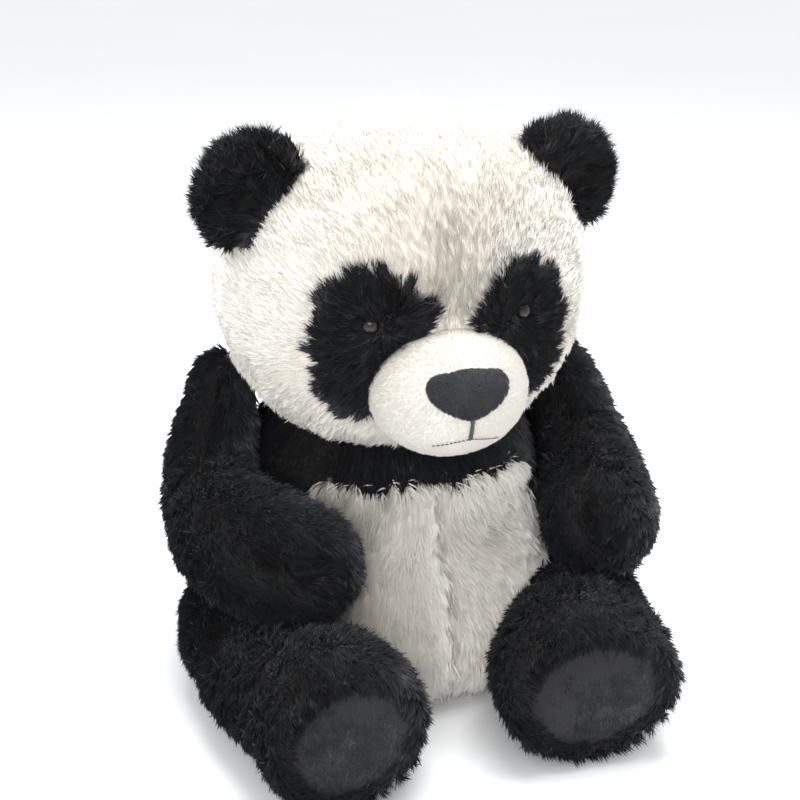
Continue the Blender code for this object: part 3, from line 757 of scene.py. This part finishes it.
def turned_mesh(name, profile, placement, finish, segments=40):
    """A closed turned mesh about local Z from (radius, height) points, first and last on the axis."""
    points = []
    rings = []
    for radius, height in profile:
        angles = [0.0] if radius == 0.0 else [2 * math.pi * i / segments for i in range(segments)]
        rings.append(range(len(points), len(points) + len(angles)))
        points += [placement @ Vector((radius * math.cos(a), radius * math.sin(a), height)) for a in angles]
    faces = []
    for first, second in zip(rings, rings[1:]):
        for i in range(segments):
            j = (i + 1) % segments
            if len(first) == 1:
                faces.append((first[0], second[j], second[i]))
            elif len(second) == 1:
                faces.append((first[i], first[j], second[0]))
            else:
                faces.append((first[i], first[j], second[j], second[i]))
    return mesh_object(name, points, faces, finish)


def surface_frame(centre, radii, power, x, z, set_back=0.0):
    """A frame on the front of a rounded form over (x, z), with local Z straight out of it."""
    centre = np.asarray(centre)
    radii = np.asarray(radii) - set_back

    def front(px, pz):
        dx = abs((px - centre[0]) / radii[0]) ** power
        dz = abs((pz - centre[2]) / radii[2]) ** power
        return centre[1] - radii[1] * max(1.0 - dx - dz, 0.0) ** (1.0 / power)

    step = 0.0005
    here = Vector((x, front(x, z), z))
    across = Vector((x + step, front(x + step, z), z)) - here
    upward = Vector((x, front(x, z + step), z + step)) - here
    outward = across.cross(upward).normalized()
    return Matrix.Translation(here) @ outward.to_track_quat("Z", "Y").to_matrix().to_4x4()


def make_eye(side, sign):
    """A glossy domed eye with a rolled rim."""
    placement = surface_frame(HEAD_CENTRE, HEAD_RADII, HEAD_POWER, sign * EYE_X, EYE_Z, HEAD_SET_BACK)
    profile = [(0.0, -0.004), (EYE_R * 0.55, -0.004), (EYE_R * 0.92, -0.0006), (EYE_R, 0.0004)]
    steps = 12
    for i in range(1, steps):
        angle = math.pi / 2 * i / steps
        profile.append((EYE_R * math.cos(angle), 0.0006 + 0.8 * EYE_R * math.sin(angle)))
    profile.append((0.0, 0.0006 + 0.8 * EYE_R))
    eye = turned_mesh("eye_dome_" + side, profile, placement, "eye")
    settle(eye, "head", ["eye_" + side])


# ---- Muzzle, nose and mouth ------------------------
def muzzle_front(x, z, lift=0.0):
    radii = MUZZLE_RADII - MUZZLE_SET_BACK + lift
    inside = 1.0 - ((x - MUZZLE_CENTRE[0]) / radii[0]) ** 2 - ((z - MUZZLE_CENTRE[2]) / radii[2]) ** 2
    return MUZZLE_CENTRE[1] - radii[1] * np.sqrt(np.maximum(inside, 0.0))


def make_muzzle():
    points, faces = full_form(MUZZLE_CENTRE, MUZZLE_RADII - MUZZLE_SET_BACK, 2.0, level=5)
    normals = normals_of(points, faces)
    from_nose = points - np.array([0.0, -0.150, 0.212])
    comb = tangent_to(normals, unit_rows(from_nose) + np.array([0.0, 0.0, -0.3]))
    grow = 1.0 - (inside_outline(points, NOSE) & (points[:, 1] < -0.12))
    skin = mesh_object("muzzle_skin", points, faces, "muzzle_velour")
    lay(skin, comb, grow)
    settle(skin, "head", ["muzzle_cover"])
    nap = grow_pile("muzzle_nap", skin, "muzzle_nap", "muzzle", 21)
    settle(nap, "head")


def make_nose():
    """A puffed fleece triangle with rounded corners, sewn down around its edge."""
    ring = rounded_outline(NOSE, 120)
    middle = ring.mean(axis=0)
    rows = 22
    points = []
    for row in range(rows + 1):
        share = row / rows
        for x, z in middle + (ring - middle) * share:
            puff = 0.0030 * (1.0 - share ** 5) ** 0.5
            y = muzzle_front(x, z, 0.0)
            slope = [x / MUZZLE_RADII[0] ** 2, (y - MUZZLE_CENTRE[1]) / MUZZLE_RADII[1] ** 2,
                     (z - MUZZLE_CENTRE[2]) / MUZZLE_RADII[2] ** 2]
            normal = unit_rows(np.array([slope]))[0]
            points.append(np.array([x, y, z]) + normal * (puff - 0.0002))
            if row == 0:
                break
    count = len(ring)
    faces = [(0, 1 + i, 1 + (i + 1) % count) for i in range(count)]
    for row in range(1, rows):
        start = 1 + (row - 1) * count
        for i in range(count):
            j = (i + 1) % count
            faces.append((start + i, start + count + i, start + count + j, start + j))
    last = 1 + (rows - 1) * count
    back = len(points)
    points.append(np.array([middle[0], muzzle_front(middle[0], middle[1]) + 0.003, middle[1]]))
    faces += [(back, last + (i + 1) % count, last + i) for i in range(count)]
    nose = mesh_object("nose_applique", points, faces, "nose_fleece")
    recalculated(nose)
    lay(nose, np.tile((0.0, 0.0, -1.0), (len(points), 1)), np.append(np.ones(len(points) - 1), 0.0))
    settle(nose, "head", ["nose"])
    nap = grow_pile("nose_nap", nose, "nose_nap", "nose", 25)
    settle(nap, "head")


def between(a, b, c, d, t):
    """A smooth curve from b to c, with a before and d after them."""
    return 0.5 * (2 * b + (c - a) * t + (2 * a - 5 * b + 4 * c - d) * t ** 2
                  + (3 * b - a - 3 * c + d) * t ** 3)


def rounded_outline(outline, count):
    """An even closed curve through the outline's points."""
    points = np.array(outline)
    total = len(points)
    fine = []
    for i in range(total):
        a, b, c, d = (points[(i + k) % total] for k in (-1, 0, 1, 2))
        for t in np.linspace(0.0, 1.0, 24, endpoint=False):
            fine.append(between(a, b, c, d, t))
    fine = np.array(fine)
    gaps = np.linalg.norm(np.roll(fine, -1, axis=0) - fine, axis=1)
    distance = np.concatenate([[0.0], np.cumsum(gaps)])
    closed = np.vstack([fine, fine[:1]])
    wanted = np.linspace(0.0, distance[-1], count, endpoint=False)
    return np.stack([np.interp(wanted, distance, closed[:, k]) for k in (0, 1)], axis=1)


def recalculated(obj):
    bm = bmesh.new()
    bm.from_mesh(obj.data)
    bmesh.ops.recalc_face_normals(bm, faces=bm.faces)
    bm.to_mesh(obj.data)
    bm.free()


def tube(name, path, radius, finish, sides=8):
    """A round thread along a path, with domed ends."""
    path = np.asarray(path)
    count = len(path)
    tangents = unit_rows(np.gradient(path, axis=0))
    side = np.array([0.0, -1.0, 0.0])
    points = []
    for i in range(count):
        share = i / (count - 1)
        size = radius * min(1.0, (math.sin(math.pi * share) * 6.0 + 0.02) ** 0.5)
        first = unit_rows(np.cross(tangents[i], side)[None, :])[0]
        second = np.cross(first, tangents[i])
        for k in range(sides):
            angle = 2 * math.pi * k / sides
            points.append(path[i] + (first * math.cos(angle) + second * math.sin(angle)) * size)
    faces = []
    for i in range(count - 1):
        for k in range(sides):
            j = (k + 1) % sides
            faces.append((i * sides + k, i * sides + j, (i + 1) * sides + j, (i + 1) * sides + k))
    faces.append(tuple(reversed(range(sides))))
    faces.append(tuple(range((count - 1) * sides, count * sides)))
    made = mesh_object(name, points, faces, finish)
    recalculated(made)
    return made


def joined(name, pieces):
    """Several meshes as one piece."""
    bm = bmesh.new()
    for piece in pieces:
        bm.from_mesh(piece.data)
    mesh = bpy.data.meshes.new(name)
    bm.to_mesh(mesh)
    bm.free()
    mesh.materials.append(pieces[0].data.materials[0])
    mesh.shade_smooth()
    for piece in pieces:
        bpy.data.objects.remove(piece, do_unlink=True)
    return placed(name, mesh)


def make_mouth():
    """Twisted thread down from the nose, and a fine line of backstitches for the mouth."""
    strands = []
    top, bottom = 0.1985, 0.1842
    for turn in (0.0, math.pi):
        path = []
        for t in np.linspace(0.0, 1.0, 40):
            z = top + (bottom - top) * t
            angle = turn + t * 5.0 * math.pi
            x = 0.00045 * math.cos(angle)
            path.append((x, muzzle_front(x, z) - 0.0009 - 0.00035 * math.sin(angle), z))
        strands.append(tube("twist", path, 0.00078, "thread"))
    for sign in (1.0, -1.0):
        stitches = 9
        for i in range(stitches):
            path = []
            for t in np.linspace(i + 0.06, i + 0.86, 6) / stitches:
                x = sign * (0.0006 + 0.0180 * t)
                z = bottom + 0.0006 - 0.0046 * t ** 1.2
                path.append((x, muzzle_front(x, z) - 0.0010, z))
            strands.append(tube("stitch", path, 0.00034, "thread", sides=6))
    mouth = joined("mouth_stitching", strands)
    settle(mouth, "head", ["mouth_thread"])


# ---- Ears ------------------------
def make_ear(side, sign):
    """A rounded cup with long pile that radiates past its rim."""
    joint = joint_named("ear_flex_" + side)
    pivot = np.array(joint["pos_m"])
    tangent = unit_rows(np.array([joint["axis"]]))[0]
    outward = np.array([-tangent[2], 0.0, tangent[0]])
    outward *= sign * np.sign(outward[0])
    centre = pivot - outward * EAR_SINK[side]
    radii = (0.0260, 0.0085, 0.0285)
    unit, faces = ball(5)
    reach = (np.abs(unit) ** 2.2).sum(axis=1) ** (-1.0 / 2.2)
    local = unit * reach[:, None] * np.array(radii)
    # The front is hollowed like a cup.
    hollow = np.exp(-((local[:, 0] / 0.017) ** 2 + ((local[:, 2] - 0.010) / 0.017) ** 2))
    local[:, 1] += np.where(local[:, 1] < 0.0, hollow * 0.005, hollow * 0.0015)
    front = np.array([0.0, 1.0, 0.0])
    points = centre + local[:, :1] * tangent + local[:, 1:2] * front + local[:, 2:3] * outward
    if np.dot(np.cross(tangent, front), outward) < 0.0:
        faces = [f[::-1] for f in faces]
    normals = normals_of(points, faces)
    comb = tangent_to(normals, points - (centre - outward * 0.012))
    grow = smooth_step(-0.008, 0.002, local[:, 2])
    for part, keep in (("front", lambda m: m[:, 1] < centre[1]), ("back", lambda m: m[:, 1] >= centre[1])):
        skin, used = panel(f"ear_{part}_cover_{side}", points, faces, keep, "black_backing", thickness=0.0010)
        with_attributes(skin, used, comb, grow)
        pile = grow_pile(f"ear_{part}_pile_{side}", skin, "black_pile", "ear", 31)
        for piece in (skin, pile):
            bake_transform(piece)
        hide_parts(f"ear_{part}_panel_{side}")


# ---- Torso ------------------------
def belly_push(place):
    """How far the low belly hangs forward, at places of the torso before it is pushed."""
    low = smooth_step(-0.105, -0.020, -place[:, 2])
    front = smooth_step(-0.020, 0.050, -place[:, 1])
    return 0.040 * low * front


def torso_reach(points, room):
    """Below 1 inside the torso's skin grown by room, and the points before the belly's push."""
    straight = points.copy()
    for _ in range(8):
        straight[:, 1] = points[:, 1] + belly_push(straight)
    offset = straight - TORSO_CENTRE
    radii = np.tile(TORSO_RADII - PILE_SET_BACK + room, (len(points), 1))
    radii[offset[:, 2] < 0.0, 2] = TORSO_LOW_RADIUS - PILE_SET_BACK + room
    return ((np.abs(offset) / radii) ** TORSO_POWER).sum(axis=1) ** (1.0 / TORSO_POWER), offset


def beside_torso(points, room):
    """Presses points that lie inside the torso out to just beside it; says which were pressed."""
    reach, offset = torso_reach(points, room)
    inside = reach < 1.0
    pushed = TORSO_CENTRE + offset / np.maximum(reach, 0.25)[:, None]
    pushed[:, 1] -= belly_push(pushed)
    return np.where(inside[:, None], pushed, points), inside


def torso_surface():
    radii = TORSO_RADII - PILE_SET_BACK
    points, faces = full_form(TORSO_CENTRE, radii, TORSO_POWER, level=5)
    lower = points[:, 2] < TORSO_CENTRE[2]
    stretch = (TORSO_LOW_RADIUS - PILE_SET_BACK) / radii[2]
    points[:, 2] = np.where(lower, TORSO_CENTRE[2] + (points[:, 2] - TORSO_CENTRE[2]) * stretch, points[:, 2])
    points[:, 1] -= belly_push(points)
    # The top is pressed down by the head, and the seat is flat.
    head_low = HEAD_CENTRE[2] - (HEAD_RADII[2] - 0.012) * np.sqrt(np.maximum(
        1.0 - ((points[:, 0] / (HEAD_RADII[0] + 0.01)) ** 2
               + ((points[:, 1] - HEAD_CENTRE[1]) / (HEAD_RADII[1] + 0.01)) ** 2), 0.0))
    pressed = points[:, 2] > 0.130
    points[:, 2] = np.where(pressed, np.minimum(points[:, 2], np.maximum(head_low, 0.134)), points[:, 2])
    points[:, 2] = np.maximum(points[:, 2], SEAT_CLEARANCE)
    # A shallow valley runs down the middle seam of the belly and of the back.
    valley = np.exp(-(points[:, 0] / 0.004) ** 2) * 0.0016 * (np.abs(points[:, 1]) > 0.02)
    inward = unit_rows(TORSO_CENTRE - points)
    points = points + inward * valley[:, None]
    return points, faces


def torso_comb(points):
    down = np.array([0.0, 0.0, -1.0])
    swept = np.array([1.0, 0.0, 0.1])
    pull = bell(points, np.array([0.034, -0.095, 0.095]), 0.030)[:, None]
    spread = np.stack([points[:, 0] * 1.5, np.zeros(len(points)), np.zeros(len(points))], axis=1)
    return unit_rows(down + spread) * (1.0 - 0.7 * pull) + swept * 0.7 * pull


def above_seam(points):
    """The black yoke; its seam dips under the arms."""
    dip = 0.055 * smooth_step(0.058, 0.080, np.abs(points[:, 0]))
    return points[:, 2] >= YOKE_Z - dip


def white_side(points, sign):
    return ~above_seam(points) & (points[:, 2] >= SEAT_Z) & (points[:, 0] * sign >= 0.0)


def make_torso():
    points, faces = torso_surface()
    normals = normals_of(points, faces)
    comb = tangent_to(normals, torso_comb(points))
    under_head = smooth_step(0.150, 0.162, points[:, 2])
    seat = smooth_step(0.006, 0.0015, points[:, 2])
    grow = (1.0 - 0.7 * under_head) * (1.0 - 0.97 * seat)
    regions = {
        "chest_yoke": (lambda m: above_seam(m) & (m[:, 1] < SIDE_SEAM_Y), "black", "front"),
        "shoulder_yoke": (lambda m: above_seam(m) & (m[:, 1] >= SIDE_SEAM_Y), "black", "back"),
        "seat_panel": (lambda m: m[:, 2] < SEAT_Z, "white", "back"),
    }
    for side, sign in (("left", 1.0), ("right", -1.0)):
        def front(m, sign=sign):
            return white_side(m, sign) & (m[:, 1] < SIDE_SEAM_Y)

        def back(m, sign=sign):
            return white_side(m, sign) & (m[:, 1] >= SIDE_SEAM_Y)

        regions["belly_panel_" + side] = (front, "white", "front")
        regions["back_panel_" + side] = (back, "white", "back")
    for seed, (node, (keep, colour, part)) in enumerate(regions.items()):
        skin, used = panel(node + "_cover", points, faces, keep, colour + "_backing")
        with_attributes(skin, used, comb, grow)
        settle(skin, "torso", [node])
        pile = grow_pile(node + "_pile", skin, colour + "_pile", part + "_" + colour, seed + 41)
        settle(pile, "torso")


# ---- Limbs ------------------------
def catmull_rom(values, steps):
    """Smooth rows through the given ones."""
    rows = np.array(values, dtype=float)
    padded = np.vstack([2 * rows[0] - rows[1], rows, 2 * rows[-1] - rows[-2]])
    smooth = []
    for i in range(1, len(padded) - 2):
        a, b, c, d = padded[i - 1:i + 3]
        for t in np.linspace(0.0, 1.0, steps, endpoint=False):
            smooth.append(between(a, b, c, d, t))
    smooth.append(rows[-1])
    return np.array(smooth)


def limb_surface(stations, flat_tip, around=56, steps=14, dome_rows=10):
    """A domed limb through its stations, as points, triangles and the direction along the limb."""
    rows = catmull_rom([(*centre, width, depth) for centre, width, depth in stations], steps)
    centres, widths, depths = rows[:, :3], rows[:, 3] - LIMB_SET_BACK, rows[:, 4] - LIMB_SET_BACK
    tangents = unit_rows(np.gradient(centres, axis=0))
    rings = []

    def add_ring(centre, tangent, width, depth):
        side = np.array([1.0, 0.0, 0.0])
        side = side - tangent * side.dot(tangent)
        side /= np.linalg.norm(side)
        other = np.cross(tangent, side)
        angles = np.linspace(0.0, 2 * math.pi, around, endpoint=False)
        ring = centre + np.outer(np.cos(angles) * width, side) + np.outer(np.sin(angles) * depth, other)
        rings.append((ring, tangent))

    def dome(index, outward, order, squash):
        height = 0.5 * (widths[index] + depths[index]) * squash
        for angle in order:
            add_ring(centres[index] + outward * height * math.sin(angle), tangents[index],
                     widths[index] * math.cos(angle), depths[index] * math.cos(angle))

    angles = np.linspace(0.0, math.pi / 2, dome_rows + 1)[1:]
    angles[-1] -= 0.03
    dome(0, -tangents[0], angles[::-1], 1.0)
    for i in range(len(centres)):
        add_ring(centres[i], tangents[i], widths[i], depths[i])
    dome(-1, tangents[-1], angles, 0.12 if flat_tip else 1.0)
    points = np.vstack([ring for ring, tangent in rings])
    along = np.vstack([np.repeat(tangent[None, :], around, axis=0) for ring, tangent in rings])
    faces = []
    for r in range(len(rings) - 1):
        for k in range(around):
            a, b = r * around + k, r * around + (k + 1) % around
            c, d = b + around, a + around
            faces += [(a, b, c), (a, c, d)]
    for start, flip in ((0, True), ((len(rings) - 1) * around, False)):
        middle = len(points)
        points = np.vstack([points, points[start:start + around].mean(axis=0)])
        along = np.vstack([along, along[start]])
        for k in range(around):
            a, b = start + k, start + (k + 1) % around
            faces.append((middle, b, a) if flip else (middle, a, b))
    return points, faces, along


def limb_pile(name, skin, comb, grow, kind, seed):
    lay(skin, comb, grow)
    return grow_pile(name, skin, "black_pile", kind, seed)


def make_arm(side):
    points, faces, along = limb_surface(ARM_STATIONS[side], flat_tip=False)
    points, pressed = beside_torso(points, BODY_ROOM)
    normals = normals_of(points, faces)
    comb = tangent_to(normals, along + np.array([0.0, 0.0, -0.35]))
    skin = mesh_object("arm_skin_" + side, points, faces, "black_backing")
    pile = limb_pile("arm_pile_" + side, skin, comb, 1.0 - 0.95 * pressed, "arm", 61)
    for piece in (skin, pile):
        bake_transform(piece)
    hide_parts("arm_cover_" + side)


def make_leg(side):
    stations = LEG_STATIONS[side]
    points, faces, along = limb_surface(stations, flat_tip=True)
    points[:, 2] = np.maximum(points[:, 2], SEAT_CLEARANCE)
    points, pressed = beside_torso(points, BODY_ROOM)
    normals = normals_of(points, faces)
    comb = tangent_to(normals, along + np.array([0.0, 0.0, -0.15]))
    end = np.array(stations[-1][0])
    outward = unit_rows((end - np.array(stations[-2][0]))[None, :])[0]
    in_sole = sole_measure(points, stations) < 0.92
    facing = (points - end) @ outward > -0.006
    grow = np.where((in_sole & facing) | pressed, 0.03, 1.0)
    skin = mesh_object("leg_skin_" + side, points, faces, "black_backing")
    pile = limb_pile("leg_pile_" + side, skin, comb, grow, "leg", 71)
    make_sole(side, stations, end, outward)
    for piece in (skin, pile):
        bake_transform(piece)
    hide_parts("leg_cover_" + side)


def sole_measure(points, stations):
    """0 in the middle of the sole, 1 at its edge."""
    end = np.array(stations[-1][0])
    width = stations[-1][1] - 0.004
    depth = stations[-1][2] - 0.004
    return np.hypot((points[:, 0] - end[0]) / width, (points[:, 2] - end[2]) / depth)


def make_sole(side, stations, end, outward):
    """An oval velour pad that domes a little, with soft dents."""
    across = np.array([1.0, 0.0, 0.0])
    across = across - outward * across.dot(outward)
    across /= np.linalg.norm(across)
    upward = np.cross(outward, across)
    if upward[2] < 0.0:
        upward = -upward
    width = stations[-1][1] - 0.0045
    depth = stations[-1][2] - 0.0045
    around, rows = 72, 26
    points = [end + outward * 0.0045]
    for row in range(1, rows + 1):
        share = row / rows
        for k in range(around):
            angle = 2 * math.pi * k / around
            x = width * share * math.cos(angle)
            z = depth * share * math.sin(angle)
            dent = 0.0012 * math.sin(70.0 * x + 1.0) * math.cos(85.0 * z + 0.5) * (1.0 - share ** 3)
            rise = 0.0046 * (1.0 - share ** 4) + dent - 0.001 * share ** 8
            points.append(end + across * x + upward * z + outward * rise)
    faces = [(0, 1 + k, 1 + (k + 1) % around) for k in range(around)]
    for row in range(1, rows):
        start = 1 + (row - 1) * around
        for k in range(around):
            j = (k + 1) % around
            faces += [(start + k, start + around + k, start + around + j),
                      (start + k, start + around + j, start + j)]
    last = 1 + (rows - 1) * around
    points.append(end - outward * 0.004)
    back = len(points) - 1
    faces += [(back, last + (k + 1) % around, last + k) for k in range(around)]
    points = np.array(points)
    sole = mesh_object("sole_pad_" + side, points, faces, "sole_velour")
    recalculated(sole)
    normals = normals_of(points, faces)
    lay(sole, tangent_to(normals, np.tile((0.1, 0.0, -1.0), (len(points), 1))),
        np.append(np.ones(len(points) - 1), 0.0))
    settle(sole, "leg_" + side, ["foot_sole_" + side])
    nap = grow_pile("sole_nap_" + side, sole, "sole_nap", "sole", 81)
    settle(nap, "leg_" + side)


# ---- Tail and label ------------------------
def make_tail():
    low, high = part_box("tail")
    centre = (np.array(low) + np.array(high)) / 2
    centre[1] -= 0.003
    radii = (np.array(high) - np.array(low)) / 2 - PILE_SET_BACK
    radii[1] += 0.004
    points, faces = full_form(centre, radii, 2.0, level=5)
    normals = normals_of(points, faces)
    comb = tangent_to(normals, np.tile((0.0, 0.7, -0.7), (len(points), 1)))
    skin = mesh_object("tail_skin", points, faces, "white_backing")
    lay(skin, comb, np.ones(len(points)))
    settle(skin, "tail", ["tail"])
    pile = grow_pile("tail_pile", skin, "white_pile", "tail", 91)
    settle(pile, "tail")


def make_label():
    """A blank folded satin tab with a gentle curl, sewn into the seat seam."""
    low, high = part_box("care_label")
    columns, rows = 14, 20
    points = []
    for row in range(rows + 1):
        t = row / rows
        y = low.y + (high.y - low.y) * t - 0.004
        for column in range(columns + 1):
            s = column / columns
            x = low.x + (high.x - low.x) * s
            z = low.z + 0.0006 - 0.010 * t * t + 0.0008 * math.sin(3.0 * s + 2.0 * t)
            points.append((x, y, max(z, SEAT_CLEARANCE)))
    faces = []
    for row in range(rows):
        for column in range(columns):
            a = row * (columns + 1) + column
            faces.append((a, a + 1, a + columns + 2, a + columns + 1))
    label = mesh_object("label_tab", points, faces, "label")
    wall = label.modifiers.new("wall", "SOLIDIFY")
    wall.thickness = 0.0005
    settle(label, "torso", ["care_label"])


# ---- Setting ------------------------
def make_setting():
    floor = mesh_object("floor", [(-8, -8, 0), (8, -8, 0), (8, 8, 0), (-8, 8, 0)], [(0, 1, 2, 3)], "label")
    backdrop = Finish("studio_floor", {"Roughness": 0.9})
    backdrop.drive("Base Color", backdrop.mix(backdrop.noise(1.5), (0.86, 0.86, 0.87), (0.90, 0.90, 0.90)))
    floor.data.materials[0] = backdrop.material
    world = bpy.data.worlds.new("studio")
    bpy.context.scene.world = world
    world.use_nodes = True
    world.node_tree.nodes["Background"].inputs["Color"].default_value = (0.95, 0.97, 1.0, 1.0)
    world.node_tree.nodes["Background"].inputs["Strength"].default_value = 1.05
    add_light("top_soft", (0.1, 0.05, 1.30), (0.0, 0.0, 0.2), 0.9, 21.0)
    add_light("front_soft", (-0.55, -1.1, 0.85), (0.0, 0.0, 0.15), 0.8, 6.5)


def add_light(name, place, target, size, power):
    lamp = bpy.data.lights.new(name, "AREA")
    lamp.shape = "DISK"
    lamp.size = size
    lamp.energy = power
    made = bpy.data.objects.new(name, lamp)
    made.location = place
    made.rotation_euler = (Vector(target) - Vector(place)).to_track_quat("-Z", "Y").to_euler()
    bpy.context.scene.collection.objects.link(made)


def make_camera():
    azimuth, elevation, distance = math.radians(-17.0), math.radians(23.0), 0.72
    target = Vector((0.0, -0.020, 0.157))
    back = Vector((math.sin(azimuth) * math.cos(elevation), -math.cos(azimuth) * math.cos(elevation),
                   math.sin(elevation)))
    lens = bpy.data.cameras.new("camera")
    lens.lens = 53.1
    lens.clip_start = 0.02
    camera = bpy.data.objects.new("camera", lens)
    camera.location = target + back * distance
    camera.rotation_euler = (-back).to_track_quat("-Z", "Y").to_euler()
    bpy.context.scene.collection.objects.link(camera)
    bpy.context.scene.camera = camera
    bpy.context.scene.view_settings.view_transform = "Standard"


def dress_inner_nodes():
    """The hidden stuffing, pouch and washers keep their CAD shapes and get their own finishes."""
    for name, node in frame["nodes"].items():
        if name.endswith("stuffing") or "_stuffing" in name:
            finish = "stuffing"
        elif name == "pellet_pouch":
            finish = "pouch"
        elif name.startswith("eye_washer"):
            finish = "washer"
        else:
            continue
        for slot in node.material_slots:
            slot.material = FINISHES[finish]


make_camera()
make_setting()
make_head()
make_muzzle()
make_nose()
make_mouth()
make_torso()
for side, sign in (("left", 1.0), ("right", -1.0)):
    make_ear(side, sign)
    make_arm(side)
    make_leg(side)
make_tail()
make_label()
dress_inner_nodes()
bpy.data.objects.remove(STRAND, do_unlink=True)
